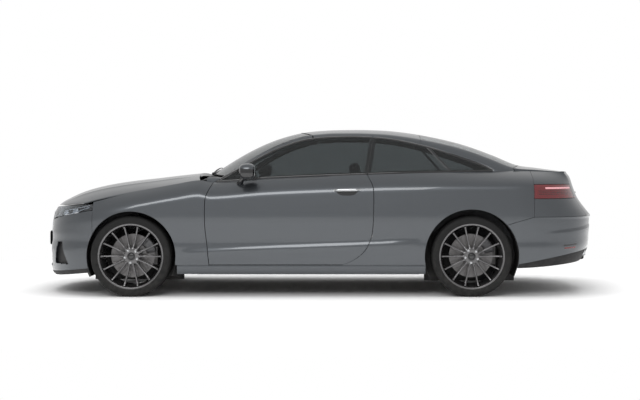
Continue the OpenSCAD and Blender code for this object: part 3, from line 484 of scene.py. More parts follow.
    def roof_z(self, x: Array, y: Array) -> Array:
        """Height of screens, roof and boot: the middle line, swept and let down by powers of y."""
        e = x - curve(x, self.sweep) * (y / self.sweep_y) ** 2
        return curve(e, self.centre) - curve(e, self.crown) * (np.abs(y) / self.crown_y) ** 2.2

    def house_z(self, x: Array, y: Array) -> Array:
        """Height of the glasshouse: the lower of side and roof, blended where they come close."""
        side = curve(x, self.top_z) + self.lean * (self.belt_y(x) - np.abs(y))
        roof = self.roof_z(x, y)
        h = np.maximum(0, self.blend - np.abs(side - roof)) / self.blend
        return np.minimum(side, roof) - h * h * self.blend / 4

    def nose_point(self, side: Array, s_end: Array, z: Array, t: Array | float = 0.0) -> Array:
        """A point of the nose, from -1 at s_end on the left through 0 in the middle to 1 on the right."""
        return self._across(side, self.nose_end, s_end, z, t)

    def tail_point(self, side: Array, s_end: Array, z: Array, t: Array | float = 0.0) -> Array:
        """A point of the tail, from -1 at s_end on the left through 0 in the middle to 1 on the right."""
        return self._across(side, self.tail_end, s_end, z, t)

    def _across(self, side: Array, middle: float, s_end: Array, z: Array, t: Array | float) -> Array:
        """A point of either end, mirrored for a positive side."""
        p = self.skin(mix(middle, s_end, np.abs(side)), z, t)
        p[..., 1] = np.where(side > 0, -p[..., 1], p[..., 1])
        return p


@dataclass
class Body:
    """Panels of the body, cut out of one skin along its shut lines."""

    skin: Skin = field(default_factory=Skin)
    sheet_t: float = 6
    front_axle: float = -1575
    rear_axle: float = 1298
    axle_z: float = 340
    front_arch_r: float = 380
    rear_arch_r: float = 397
    gap: float = 5.0
    seam: float = 1.2
    door_depth: float = 100
    wing_depth: float = 25
    quarter_depth: float = 60
    bumper_depth: float = 40
    lid_depth: float = 26
    roof_depth: float = 36
    glass_depth: float = 5
    sill_z: float = 266
    sill_bottom: float = 190
    sill_y: float = 790
    wing_seam_x: float = -1905
    bumper_top: float = 725
    rear_seam_deg: float = 42
    tail_seam: Sequence[float] = (1822, 672)
    lamp_z: Sequence[float] = (826, 946)
    boot_face_y: float = 600
    hood_front_x: float = -1960
    hood_rear: Sequence[float] = (-1077, -1005, 1037, 981)
    roof_end: float = 880
    lip_z: float = 1045
    boot_bottom: float = 680
    door_front: Table = (
        (255, -912), (280, -915), (400, -925), (560, -943), (652, -948), (815, -945), (880, -927),
        (962, -890),
    )
    door_rear: Table = (
        (266, 195), (295, 272), (340, 345), (396, 400), (480, 442), (564, 461), (760, 470), (890, 468),
        (943, 458),
        (1028, 415),
    )
    hood_rise: Table = (
        (0, 0), (
            0.043, 0.147
        ), (0.173, 0.43), (0.33, 0.623), (0.505, 0.751), (0.68, 0.839), (0.855, 0.932), (1, 1),
    )

    def arch(self, end: End, deg: Array | float) -> tuple[Array, Array]:
        """Station and height of a point of a wheel arch, by its angle from the level."""
        x, r = (
            self.front_axle, self.front_arch_r
        ) if end is End.FRONT else (self.rear_axle, self.rear_arch_r)
        return x + r * np.cos(np.radians(deg)), self.axle_z + r * np.sin(np.radians(deg))

    def arch_deg(self, end: End, z: Array) -> Array:
        """Angle at which a wheel arch reaches height z, on its rear side."""
        r = self.front_arch_r if end is End.FRONT else self.rear_arch_r
        return np.degrees(np.arcsin(np.clip((z - self.axle_z) / r, -1, 1)))

    def _flank(self, nu: int, nv: int, depth: float, edge: Rows, drop: float) -> Solid:
        """A panel of the left flank, where edge(u, v) gives distance along and height.

        Towards the top edge the inner face comes out to lie below the outer one by drop.
        """
        skin = self.skin

        def outer(u: Array, v: Array) -> Array:
            """The panel's face on the skin."""
            return skin.skin(*edge(u, v))

        def inner(u: Array, v: Array) -> Array:
            """The panel's face inside the skin."""
            fade = v**4
            p = skin.skin(*edge(u, v), depth * (1 - fade))
            p[..., 2] -= drop * fade
            return p

        return slab(nu, nv, outer, inner, lining=1)

    def front_wing(self) -> Solid:
        """The left front wing, from the bumper seam over the wheel to the door."""
        seam_deg = math.degrees(
            math.acos((self.wing_seam_x + self.seam - self.front_axle) / self.front_arch_r)
        )
        foot_deg = float(self.arch_deg(End.FRONT, self.sill_z + self.seam))
        foot = self.arch(End.FRONT, foot_deg)
        split = 0.7
        top_x = [[0, self.wing_seam_x + self.seam], [split, foot[0] + 70], [1, -890 - self.gap]]

        def edge(u: Array, v: Array) -> tuple[Array, Array]:
            """Rows run from the arch and the sill up to the bonnet edge."""
            arch_x, arch_z = self.arch(End.FRONT, mix(seam_deg, foot_deg, np.minimum(u / split, 1)))
            door_x = curve(self.sill_z, self.door_front) - self.gap
            low_x = np.where(u < split, arch_x, mix(foot[0], door_x, (u - split) / (1 - split)))
            low_z = np.where(u < split, arch_z, foot[1])
            high_x = line(u, top_x)
            high_z = curve(high_x, self.skin.top_z)
            x, z = mix(low_x, high_x, v), mix(low_z, high_z, v)
            end_x = mix(door_x, top_x[-1][1], v)
            end_z = mix(foot[1], curve(top_x[-1][1], self.skin.top_z), v)
            x = x + u**6 * (curve(end_z, self.door_front) - self.gap - end_x)
            return self.skin.along(x, z), z

        return self._flank(112, 44, self.wing_depth, edge, 20)

    def skirt(self) -> Solid:
        """The left sill skirt between the wheel arches, with a flat ledge along it."""
        front = self.arch(End.FRONT, self.arch_deg(End.FRONT, self.sill_z - self.seam))[0] + 16
        back = self.arch(End.REAR, 180 - self.arch_deg(End.REAR, self.sill_z - self.seam))[0]

        def outer(u: Array, v: Array) -> Array:
            """The skin, standing out 6 mm in a ledge over the middle of its height."""
            p = self.skin.skin(mix(front, back, u), mix(self.sill_bottom, self.sill_z - self.seam, v))
            p[..., 1] -= 6 * smooth(v / 0.35) * smooth((1 - v) / 0.25)
            return p

        def inner(u: Array, v: Array) -> Array:
            """A plane at the edge of the floor."""
            return point(
                mix(front, back, u), -self.sill_y + 0 * u, mix(self.sill_bottom, self.sill_z - self.seam, v)
            )

        return slab(80, 12, outer, inner)

    def quarter(self) -> Solid:
        """The left quarter panel, from the door over the rear wheel to the tail."""
        foot_deg = float(180 - self.arch_deg(End.REAR, self.sill_z + self.seam))
        foot = self.arch(End.REAR, foot_deg)
        seam_x, seam_z = self.arch(End.REAR, self.rear_seam_deg)
        cuts = (0.3, 0.8)
        low_end = (self.tail_seam[0] - self.seam, self.tail_seam[1] + self.seam)
        top_x = [[0, 415 + self.gap], [cuts[0], foot[0] - 150], [cuts[1], 1560], [1, low_end[0]]]

        def edge(u: Array, v: Array) -> tuple[Array, Array]:
            """Rows run from the sill, the arch and the bumper seam up to the belt line."""
            w = v**1.5
            door_x = curve(self.sill_z, self.door_rear) + self.gap
            arch_x, arch_z = self.arch(
                End.REAR,
                mix(foot_deg, self.rear_seam_deg, np.clip((u - cuts[0]) / (cuts[1] - cuts[0]), 0, 1))
            )
            t = (u - cuts[1]) / (1 - cuts[1])
            low_x = np.where(
                u < cuts[0], mix(door_x, foot[0], u / cuts[0]),
                np.where(u < cuts[1], arch_x, mix(seam_x, low_end[0], t))
            )
            low_z = np.where(
                u < cuts[0], foot[1], np.where(u < cuts[1], arch_z, mix(seam_z + self.seam, low_end[1], t))
            )
            high_x = line(u, top_x)
            high_z = curve(high_x, self.skin.top_z)
            x, z = mix(low_x, high_x, w), mix(low_z, high_z, w)
            start_x = mix(door_x, top_x[0][1], w)
            start_z = mix(foot[1], curve(top_x[0][1], self.skin.top_z), w)
            x = x + np.maximum(0, 1 - u / cuts[0]) ** 2 * (
                curve(start_z, self.door_rear) + self.gap - start_x
            )
            return self.skin.along(x, z), z

        return self._flank(140, 56, self.quarter_depth, edge, 26)

    def tail_corner(self, low: Edge, high: Edge, depth: float, drop: float = 0.0, back: float = 0.0) -> Solid:
        """The left rear corner between two heights, from the quarter panel round to the boot lid.

        Args:
            low: lower edge height as a function of u.
            high: upper edge height as a function of u.
            depth: thickness of the panel.
            drop: how far its inner face comes out to lie below its top edge.
            back: how far the outer face lies inside the skin.
        """

        def outer(u: Array, v: Array) -> Array:
            """The corner's face, set back from the skin."""
            z = mix(low(u), high(u), v)
            start = self.skin.along(self.tail_seam[0] + self.seam, z)
            stop = self.skin.along_width(self.boot_face_y + self.gap, z, End.REAR)
            return self.skin.skin(mix(start, stop, u), z, back)

        def inner(u: Array, v: Array) -> Array:
            """The outer face moved sideways at the quarter panel and lengthways at the lid."""
            fade = v**4 if drop else 0 * v
            step = point(-u, 1 - u, 0 * u) * (depth * (1 - fade))[..., None]
            step[..., 2] -= drop * fade
            return outer(u, v) + step

        return slab(48, 20, outer, inner, lining=1)

    def rear_pillar(self) -> Solid:
        """The left sail of the rear pillar, from the roof down to the boot beside the rear window."""

        def edge(u: Array, v: Array) -> tuple[Array, Array]:
            """Between the rear window's edge and the side glass or belt line."""
            x = mix(self.roof_end + self.seam, 1683, u)
            return x, -mix(self.rear_window_y(x) + self.seam, self.pillar_y(x), v)

        return self._house(80, 16, 30, edge)

    def rear_window_y(self, x: Array) -> Array:
        """Half width of the rear window at station x."""
        return mix(560, 602, (x - self.roof_end) / (1683 - self.roof_end))

    def pillar_y(self, x: Array) -> Array:
        """Outer edge of the rear pillar at station x."""
        skin = self.skin
        glass = skin.side_glass_y(x, curve(x, skin.glass_top)) - self.glass_depth - 0.5
        last = skin.side_glass_y(1504, curve(1504, skin.glass_top)) - self.glass_depth - 0.5
        return np.where(x < 1504, glass, np.minimum(curve(x, skin.top_y) - self.seam, last))

    def _house(self, nu: int, nv: int, depth: float, edge: Rows) -> Solid:
        """A panel of the glasshouse, where edge(u, v) gives station and side distance."""

        def at(u: Array, v: Array, down: float) -> Array:
            """Points of the glasshouse, moved down."""
            x, y = edge(u, v)
            return point(x, y, self.skin.house_z(x, y) - down)

        return slab(nu, nv, lambda u, v: at(u, v, 0), lambda u, v: at(u, v, depth), flip=True, lining=1)

    def door(self) -> Solid:
        """The left door: skin outside, lining inside, thinner ahead of its hinges."""

        def edge(u: Array, v: Array) -> tuple[Array, Array]:
            """Rows run from the sill to the belt line, columns from the front to the rear shut line."""
            w = v**1.5
            z = mix(self.sill_z + self.gap, curve(mix(-890, 415, u), self.skin.top_z), w)
            return mix(curve(z, self.door_front), curve(z, self.door_rear), u), z

        def inner(u: Array, v: Array) -> Array:
            """The lining's side of the door."""
            depth = self.door_depth * line(u, [[0, 0.38], [0.1, 0.55], [0.2, 1], [1, 1]])
            depth = depth * (1 - 0.6 * v**8 * np.maximum(0, 1 - 6 * u))
            x, z = edge(mix(0.004, 0.99, u), v)
            return self.skin.skin(x, z, depth)

        return slab(150, 60, lambda u, v: self.skin.skin(*edge(u, v)), inner, lining=1)

    def side_pane(self, front: Sequence[float], back: Sequence[float], low: float, below_top: float) -> Solid:
        """A pane of the left side glass between two slanted ends, from the belt line to its upper edge."""

        def at(u: Array, v: Array, depth: float) -> Array:
            """Points of the leaning side glass, moved in."""
            x = mix(mix(front[0], front[1], v), mix(back[0], back[1], v), u)
            z = mix(curve(x, self.skin.top_z) + low, curve(x, self.skin.glass_top) - below_top, v)
            return point(x, depth - self.skin.side_glass_y(x, z), z)

        return slab(90, 24, lambda u, v: at(u, v, 0), lambda u, v: at(u, v, self.glass_depth))

    def front_bumper(self) -> Solid:
        """The front bumper from arch to arch, with openings for grille and intake left by open_nose."""
        skin = self.skin
        lamp_s = float(skin.along_width(450, np.array(700.0), End.FRONT))
        seam_deg = math.degrees(math.acos((self.wing_seam_x - self.front_axle) / self.front_arch_r))
        seam_z = float(self.arch(End.FRONT, seam_deg)[1])
        shares = np.array([0, 5 / 14, 6 / 14, 1])
        bend = 5 / 8

        def at(u: Array, v: Array, depth: float) -> Array:
            """Rows run from the lower edge, by the arch's height, to the bonnet, lamp or wing."""
            side = 2 * u - 1
            a = np.abs(side)
            low, mid = mix(150, 205, a * a), mix(470, seam_z, a)
            top = np.interp(a, shares, [742, 742, 634, self.bumper_top])
            z = np.where(v < bend, mix(low, mid, v / bend), mix(mid, top, (v - bend) / (1 - bend)))
            arch_x = self.arch(End.FRONT, 180 - self.arch_deg(End.FRONT, z))[0]
            end = skin.along(np.where(z < seam_z, arch_x, self.wing_seam_x - self.seam), z)
            first = mix(skin.nose_end, lamp_s, a / shares[1])
            second = mix(lamp_s, lamp_s + 12, (a - shares[1]) / (shares[2] - shares[1]))
            third = mix(lamp_s + 12, end, (a - shares[2]) / (1 - shares[2]))
            s = np.where(a < shares[1], first, np.where(a < shares[2], second, third))
            return skin.nose_point(np.sign(side), s, z, depth)

        nu, nv = 252, 96
        solid = slab(
            nu, nv, lambda u, v: at(u, v, 0), lambda u, v: at(u, v, self.bumper_depth), flip=True, lining=1
        )
        return self._open_nose(solid, nu, nv)

    def _open_nose(self, solid: Solid, nu: int, nv: int) -> Solid:
        """Takes the cells over grille, intake and corner vents out of the bumper and walls the openings.

        A cell goes where its middle on the skin lies in an opening. Each edge between a cell
        that stays and one that goes gets a wall from the outer to the inner grid.
        """
        row, count = nu + 1, (nu + 1) * (nv + 1)
        mm = solid.points[:count].reshape(nv + 1, row, 3) / MM
        centre = (mm[:-1, :-1] + mm[1:, :-1] + mm[:-1, 1:] + mm[1:, 1:]) / 4
        gone = self.nose_opening(centre[..., 1], centre[..., 2])
        keep = ~gone
        index = np.arange(nv * nu).reshape(nv, nu)
        top, walls, bottom = solid.faces
        stay = index[keep]
        new_walls = [walls]
        a, b = np.nonzero(keep[:, :-1] & gone[:, 1:])
        new_walls.append(self._wall(a * row + b + 1, (a + 1) * row + b + 1, count))
        a, b = np.nonzero(gone[:, :-1] & keep[:, 1:])
        new_walls.append(self._wall((a + 1) * row + b + 1, a * row + b + 1, count))
        a, b = np.nonzero(keep[:-1] & gone[1:])
        new_walls.append(self._wall((a + 1) * row + b + 1, (a + 1) * row + b, count))
        a, b = np.nonzero(gone[:-1] & keep[1:])
        new_walls.append(self._wall((a + 1) * row + b, (a + 1) * row + b + 1, count))
        return Solid(solid.points, [top[stay], np.concatenate(new_walls), bottom[stay]], [0, 0, 1])

    @staticmethod
    def _wall(start: Array, end: Array, count: int) -> Array:
        """Quads from outer edges to the same edges of the inner grid."""
        return np.stack([start, end, end + count, start + count], -1)

    def nose_opening(self, y: Array, z: Array) -> Array:
        """Where the nose is open: grille, lower intake and the two corner vents."""
        a = np.abs(y)
        grille = (a < 395 - 0.45 * np.maximum(0, 600 - z)) & (z > 525) & (z < 700)
        intake = (a < 505 - 0.9 * np.maximum(0, z - 330)) & (z > 232) & (z < 402)
        vent = (a > 590 + 0.2 * (z - 270)) & (a < 745 - 0.3 * (z - 270)) & (z > 262) & (z < 452)
        return grille | intake | vent

    def nose_sheet(self, half: float, low: float, high: float, depth: float) -> Solid:
        """A thin sheet behind an opening of the nose, following it at a depth."""
        s_end = self.skin.along_width(half, np.array((low + high) / 2), End.FRONT)

        def at(u: Array, v: Array, d: float) -> Array:
            """Points of the nose inside its skin."""
            return self.skin.nose_point(2 * u - 1, s_end, mix(low, high, v), d)

        back = depth + self.sheet_t
        return slab(40, 8, lambda u, v: at(u, v, depth), lambda u, v: at(u, v, back), flip=True)

    def rear_bumper(self) -> Solid:
        """The rear bumper from wheel arch to wheel arch, with a crease that rises to the tail."""
        skin = self.skin
        seam_x, seam_z = self.arch(End.REAR, self.rear_seam_deg)

        def at(u: Array, v: Array, depth: float) -> Array:
            """Rows run from the lower edge to the quarter panel's seam."""
            side = 2 * u - 1
            a = np.abs(side)
            corner = mix(240, seam_z - self.seam, v)
            s = mix(
                skin.tail_end, skin.along(self.arch(End.REAR, self.arch_deg(End.REAR, corner))[0], corner), a
            )
            top_s = mix(skin.tail_end, float(skin.along(seam_x, seam_z)), a)
            top = 0 * a + self.tail_seam[1]
            for _ in range(4):
                top = line(
                    skin.skin(top_s, top)[..., 0],
                    [[seam_x, seam_z], list(self.tail_seam), [3000, self.tail_seam[1]]]
                )
            z = mix(mix(300, 240, a**3), top - self.seam, v)
            fold = 618 + (s - 2415) * 0.10
            out = 7 * smooth((fold - z) / 26) * (1 - smooth((fold - z - 26) / 150)) * smooth((s - 1720) / 200)
            return skin.tail_point(np.sign(side), s, z, depth - (out if depth == 0 else 0))

        return slab(200, 64, lambda u, v: at(u, v, 0), lambda u, v: at(u, v, self.bumper_depth), lining=1)

    def head_lamp(self, back: float, depth: float, inset: float = 0.0) -> Solid:
        """A layer of the left head lamp, at a depth inside the skin.

        Args:
            back: depth of its front face.
            depth: its thickness.
            inset: how far its edges stay inside the lamp's outline, as a share.
        """
        skin = self.skin
        lamp_s = float(skin.along_width(450, np.array(700.0), End.FRONT))

        def at(u: Array, v: Array, t: float) -> Array:
            """Points between the bumper's edge and the bonnet's."""
            u, v = mix(inset, 1 - inset, u), mix(inset, 1 - inset, v)
            low = mix(644, self.bumper_top + 4, u)
            z = mix(low, self.hood_front_z(mix(0.34, 1, u)) - 9, v)
            stop = skin.along(self.wing_seam_x - self.seam, z)
            return skin.skin(mix(lamp_s + mix(15, 3, v), stop, u), z, t)

        return slab(60, 20, lambda u, v: at(u, v, back), lambda u, v: at(u, v, back + depth))

    def hood_front_z(self, a: Array | float) -> Array:
        """Height of the bonnet's front edge, rising from the middle to the sides."""
        return 752 + 34 * np.abs(a) ** 1.5

    def hood(self, u: Array, v: Array) -> Array:
        """A point of the bonnet, u from -1 left to 1 right and v from its front edge to its rear edge."""
        skin = self.skin
        a = np.abs(u)
        s_end = float(skin.along(self.hood_front_x, self.hood_front_z(1)))
        f = skin.nose_point(u, s_end, self.hood_front_z(u))
        f1 = -float(skin.skin(s_end, self.hood_front_z(1))[1])
        side_x = mix(self.hood_front_x, self.hood_rear[1], v)
        side_y = curve(side_x, skin.top_y) - self.gap
        r1 = float(curve(self.hood_rear[1], skin.top_y)) - self.gap
        rear_x = mix(self.hood_rear[0], self.hood_rear[1], a * a)
        rear_z = mix(self.hood_rear[2], self.hood_rear[3], a**2.2)
        h = mix(curve(v, self.hood_rise), v**0.86, a * a)
        y = mix(f[..., 1], u * r1, v) + np.sign(u) * a**3 * (side_y - mix(f1, r1, v))
        ridge = 5 * np.exp(
            -(((a - mix(0.5, 0.62, v)) / 0.05) ** 2)
        ) * smooth(v / 0.15) * smooth((1 - v) / 0.2)
        return point(mix(f[..., 0], rear_x, v), y, mix(f[..., 2], rear_z, h) + ridge)

    def bonnet(self) -> Solid:
        """The bonnet, with a rolled front edge."""
        skin = self.skin
        s_end = float(skin.along(self.hood_front_x, self.hood_front_z(1)))

        def inner(u: Array, v: Array) -> Array:
            """The bonnet's underside, pulled back behind its front edge."""
            side = 2 * u - 1
            z = self.hood_front_z(side)
            back = skin.nose_point(side, s_end, z, 60) - skin.nose_point(side, s_end, z)
            p = self.hood(side, v) + ((1 - v) ** 4)[..., None] * back
            p[..., 2] -= mix(2, self.lid_depth, 1 - (1 - v) ** 6)
            return p

        return slab(140, 110, lambda u, v: self.hood(2 * u - 1, v), inner, flip=True, lining=1)

    def boot_front_x(self, y: Array) -> Array:
        """Station of the boot lid's front edge, swept forward towards the sides."""
        return 1782 - 90 * (y / 600) ** 2

    def tail_x(self, y: Array, z: Array) -> Array:
        """Station of the tail at side distance y and height z."""
        skin = self.skin
        share = 1 - (np.abs(y) / skin.section(z)) ** skin.tail_power
        return skin.tail_start + (curve(z, skin.tail) - skin.tail_start) * share ** (1 / skin.tail_power)

    def boot(self, u: Array, v: Array) -> Array:
        """A point of the boot lid: its top for v below a half, then its face down to the bumper.

        The face is pressed in around the number plate by up to 14 mm.
        """
        skin = self.skin
        side = curve(mix(1740, 2150, np.minimum(1, 2 * v)), skin.top_y) - self.gap
        y = u * np.where(v < 0.5, side, self.boot_face_y)
        lip = self.tail_x(y, self.lip_z)
        x = mix(self.boot_front_x(y), lip, 2 * v)
        z = mix(skin.roof_z(lip, y), self.boot_bottom, 2 * v - 1)
        flick = 5 * np.exp(-(((v - 0.485) / 0.02) ** 2))
        well = 14 * smooth((330 - np.abs(y)) / 30) * smooth((z - 705) / 20) * smooth((850 - z) / 25)
        top = point(x, y, skin.roof_z(x, y) + flick)
        face = point(self.tail_x(y, np.minimum(z, self.lip_z)) - well, y, z + flick)
        return np.where((v < 0.5)[..., None], top, face)

    def boot_lid(self) -> Solid:
        """The boot lid, top and face in one panel."""

        def inner(u: Array, v: Array) -> Array:
            """The lid's inner face, below its top and ahead of its face."""
            p = self.boot(2 * u - 1, v)
            p[..., 0] -= np.where(v < 0.5, -14 * (1 - v) ** 12, self.lid_depth)
            p[..., 2] -= np.where(v > 0.5, 0, self.lid_depth)
            return p

        return slab(120, 160, lambda u, v: self.boot(2 * u - 1, v), inner, flip=True, lining=1)

    def header_x(self, y: Array) -> Array:
        """Station of the seam between windscreen and roof."""
        return -170 + 130 * (y / 600) ** 2

    def screen_side_y(self, x: Array) -> Array:
        """Half width of the windscreen at station x."""
        return 700 - 0.2037 * (x + 823)

    def roof(self) -> Solid:
        """The roof between the two screens."""
        skin = self.skin

        def edge(u: Array, v: Array) -> tuple[Array, Array]:
            """Rows run from the windscreen's seam to the rear window's."""
            x0 = mix(-40, self.roof_end, v)
            y = (2 * u - 1) * (skin.side_glass_y(x0, curve(x0, skin.glass_top)) - self.gap - self.glass_depth)
            return mix(self.header_x(y), self.roof_end - self.seam, v), y

        return self._house(120, 80, self.roof_depth, edge)

    def screen_pillar(self) -> Solid:
        """The left windscreen pillar."""
        skin = self.skin

        def edge(u: Array, v: Array) -> tuple[Array, Array]:
            """Between the windscreen's edge and the side glass."""
            x = mix(-950, self.header_x(np.array(560.0)) - 3, u)
            a = self.screen_side_y(x) + self.seam
            glass = skin.side_glass_y(x, curve(np.maximum(x, -890), skin.glass_top))
            y = mix(a, np.minimum(glass, skin.belt_y(x)) - self.gap - self.glass_depth, v)
            return np.minimum(x, self.header_x(y) - self.seam), -y

        return self._house(80, 10, 38, edge)

    def windscreen(self) -> Solid:
        """The windscreen."""

        def edge(u: Array, v: Array) -> tuple[Array, Array]:
            """Rows run from its curved base to the roof."""
            x0 = mix(-817, -62, v)
            y = (2 * u - 1) * (self.screen_side_y(x0) - self.seam)
            return mix(self.screen_base_x(y), self.header_x(y) - self.seam, v), y

        return self._house(90, 60, self.glass_depth, edge)

    def screen_base_x(self, y: Array) -> Array:
        """Station of the windscreen's base."""
        return -985 + 145 * (y / self.skin.sweep_y) ** 2

    def rear_window(self) -> Solid:
        """The rear window."""

        def edge(u: Array, v: Array) -> tuple[Array, Array]:
            """Rows run from the roof to the boot lid."""
            x0 = mix(self.roof_end, 1683, v)
            y = (2 * u - 1) * (self.rear_window_y(x0) - self.seam)
            return mix(self.roof_end + self.seam, self.boot_front_x(y) - self.gap, v), y

        return self._house(90, 60, self.glass_depth, edge)

    def tray(self) -> Solid:
        """The black tray between bonnet and windscreen."""

        def at(u: Array, v: Array, low: float, down: float) -> Array:
            """Points from behind the bonnet to the windscreen's base."""
            y = (2 * u - 1) * 628
            front = mix(self.hood_rear[0], self.hood_rear[1], (y / 784) ** 2) + 9
            base = self.screen_base_x(y)
            z = mix(975 - low, self.skin.house_z(base, y) - down, v)
            return point(mix(front, base - 2, v), y, z)

        return slab(90, 12, lambda u, v: at(u, v, 0, 3), lambda u, v: at(u, v, 10, 14), flip=True)


# ---- Finishes ----


class Pattern(Enum):
    """How a finish varies over its surface."""

    NOISE = "noise"
    LEATHER = "leather"
    BRUSHED = "brushed"


def new_group(
    name: str, inputs: Sequence[tuple[str, str, object]], outputs: Sequence[tuple[str, str]]
) -> bpy.types.NodeTree:
    """A shader node group with named sockets.

    Args:
        name: name of the group.
        inputs: name, socket kind (Float or Color) and first value of each input.
        outputs: name and socket kind (Float, Color or Vector) of each output.
    """
    tree = bpy.data.node_groups.new(name, "ShaderNodeTree")
    for label, kind, value in inputs:
        tree.interface.new_socket(
            name=label, in_out="INPUT", socket_type=f"NodeSocket{kind}"
        ).default_value = value
    for label, kind in outputs:
        tree.interface.new_socket(name=label, in_out="OUTPUT", socket_type=f"NodeSocket{kind}")
    return tree


@dataclass
class Wiring:
    """Short ways to place and join the nodes of one tree."""

    tree: bpy.types.NodeTree

    def add(self, kind: str, **settings: object) -> bpy.types.Node:
        """A new node with some of its settings."""
        node = self.tree.nodes.new(f"ShaderNode{kind}")
        for key, value in settings.items():
            setattr(node, key, value)
        return node

    def join(self, source: bpy.types.NodeSocket, target: bpy.types.NodeSocket) -> None:
        """A link from one socket to another."""
        self.tree.links.new(source, target)

    def math(self, operation: str, a: object, b: object = 0.0, clamp: bool = False) -> bpy.types.NodeSocket:
        """The result of a sum on two sockets or numbers."""
        node = self.add("Math", operation=operation, use_clamp=clamp)
        for socket, value in zip(node.inputs, (a, b)):
            if isinstance(value, (int, float)):
                socket.default_value = value
            else:
                self.join(value, socket)
        return node.outputs[0]

    def blend(self, factor: bpy.types.NodeSocket, a: object, b: object) -> bpy.types.NodeSocket:
        """A colour between two colours or colour sockets."""
        node = self.add("Mix", data_type="RGBA")
        self.join(factor, node.inputs[0])
        for socket, value in ((node.inputs[6], a), (node.inputs[7], b)):
            if isinstance(value, tuple):
                socket.default_value = value
            else:
                self.join(value, socket)
        return node.outputs[2]


SURFACE_INPUTS = (
    ("Colour", "Color", (0.5, 0.5, 0.5, 1)),
    ("Other colour", "Color", (0.4, 0.4, 0.4, 1)),
    ("Smooth", "Float", 0.3),
    ("Rough", "Float", 0.5),
    ("Scale", "Float", 20.0),
    ("Fine scale", "Float", 400.0),
    ("Relief", "Float", 0.1),
    ("Dust", "Float", 0.0),
)
SURFACE_OUTPUTS = (("Colour", "Color"), ("Roughness", "Float"), ("Normal", "Vector"))
DUST = (0.30, 0.28, 0.25, 1)


def surface_group(pattern: Pattern) -> bpy.types.NodeTree:
    """The group that varies colour, roughness and relief over a surface.

    A broad noise blends the two colours and the two roughness values. A fine pattern gives the
    relief: noise, leather cells, or noise stretched twenty times along X. Dust lies on top, more
    of it towards the ground.
    """
    tree = new_group(f"Surface_{pattern.value}", SURFACE_INPUTS, SURFACE_OUTPUTS)
    w = Wiring(tree)
    given, out = tree.nodes.new("NodeGroupInput"), tree.nodes.new("NodeGroupOutput")
    place = w.add("TexCoord").outputs["Object"]
    fine_place = place
    if pattern is Pattern.BRUSHED:
        stretch = w.add("Mapping")
        stretch.inputs["Scale"].default_value = (0.05, 1, 1)
        w.join(place, stretch.inputs["Vector"])
        fine_place = stretch.outputs[0]
    broad = w.add("TexNoise")
    broad.inputs["Detail"].default_value = 4
    w.join(place, broad.inputs["Vector"])
    w.join(given.outputs["Scale"], broad.inputs["Scale"])
    if pattern is Pattern.LEATHER:
        fine = w.add("TexVoronoi", feature="DISTANCE_TO_EDGE")
        height = w.math("MULTIPLY", fine.outputs["Distance"], 2.5, clamp=True)
    else:
        fine = w.add("TexNoise")
        fine.inputs["Detail"].default_value = 2
        height = fine.outputs["Fac"]
    w.join(fine_place, fine.inputs["Vector"])
    w.join(given.outputs["Fine scale"], fine.inputs["Scale"])
    share = w.math("ADD", w.math("MULTIPLY", broad.outputs["Fac"], 0.6), w.math("MULTIPLY", height, 0.4))
    split = w.add("SeparateXYZ")
    w.join(place, split.inputs[0])
    low = w.math("MULTIPLY", w.math("SUBTRACT", 0.6, split.outputs["Z"]), 1.8, clamp=True)
    speck = w.math("MULTIPLY", w.math("SUBTRACT", broad.outputs["Fac"], 0.35), 2.5, clamp=True)
    dust = w.math("MULTIPLY", w.math("MULTIPLY", low, speck), given.outputs["Dust"], clamp=True)
    w.join(
        w.blend(dust, w.blend(share, given.outputs["Colour"], given.outputs["Other colour"]), DUST),
        out.inputs["Colour"]
    )
    rough = w.add("MapRange")
    w.join(share, rough.inputs["Value"])
    w.join(given.outputs["Smooth"], rough.inputs["To Min"])
    w.join(given.outputs["Rough"], rough.inputs["To Max"])
    w.join(
        w.math("ADD", rough.outputs[0], w.math("MULTIPLY", dust, 0.3), clamp=True), out.inputs["Roughness"]
    )
    bump = w.add("Bump")
    bump.inputs["Distance"].default_value = 0.0006
    w.join(given.outputs["Relief"], bump.inputs["Strength"])
    w.join(height, bump.inputs["Height"])
    w.join(bump.outputs[0], out.inputs["Normal"])
    return tree


@dataclass(frozen=True)
class Finish:
    """An opaque finish: two colours, a range of roughness and a fine relief, under an optional clear coat."""

    name: str
    colour: tuple[float, float, float]
    other: tuple[float, float, float]
    smooth: float
    rough: float
    scale: float = 14.0
    fine_scale: float = 900.0
    relief: float = 0.15
    metallic: float = 0.0
    coat: float = 0.0
    coat_rough: float = 0.05
    specular: float = 0.5
    dust: float = 0.0
    sheen: float = 0.0
    pattern: Pattern = Pattern.NOISE

    def material(self, groups: dict[Pattern, bpy.types.NodeTree]) -> bpy.types.Material:
        """Builds the finish as a Blender material."""
        material = bpy.data.materials.new(self.name)
        material.use_nodes = True
        w = Wiring(material.node_tree)
        shader = material.node_tree.nodes["Principled BSDF"]
        surface = w.add("Group")
        surface.node_tree = groups[self.pattern]
        values = (
            (*self.colour, 1), (*self.other, 1), self.smooth, self.rough, self.scale, self.fine_scale,
            self.relief, self.dust
        )
        for socket, value in zip(surface.inputs, values):
            socket.default_value = value
        w.join(surface.outputs["Colour"], shader.inputs["Base Color"])
        w.join(surface.outputs["Roughness"], shader.inputs["Roughness"])
        w.join(surface.outputs["Normal"], shader.inputs["Normal"])
        shader.inputs["Metallic"].default_value = self.metallic
        shader.inputs["Coat Weight"].default_value = self.coat
        shader.inputs["Coat Roughness"].default_value = self.coat_rough
        shader.inputs["Specular IOR Level"].default_value = self.specular
        shader.inputs["Sheen Weight"].default_value = self.sheen
        material.diffuse_color = (*self.colour, 1)
        return material


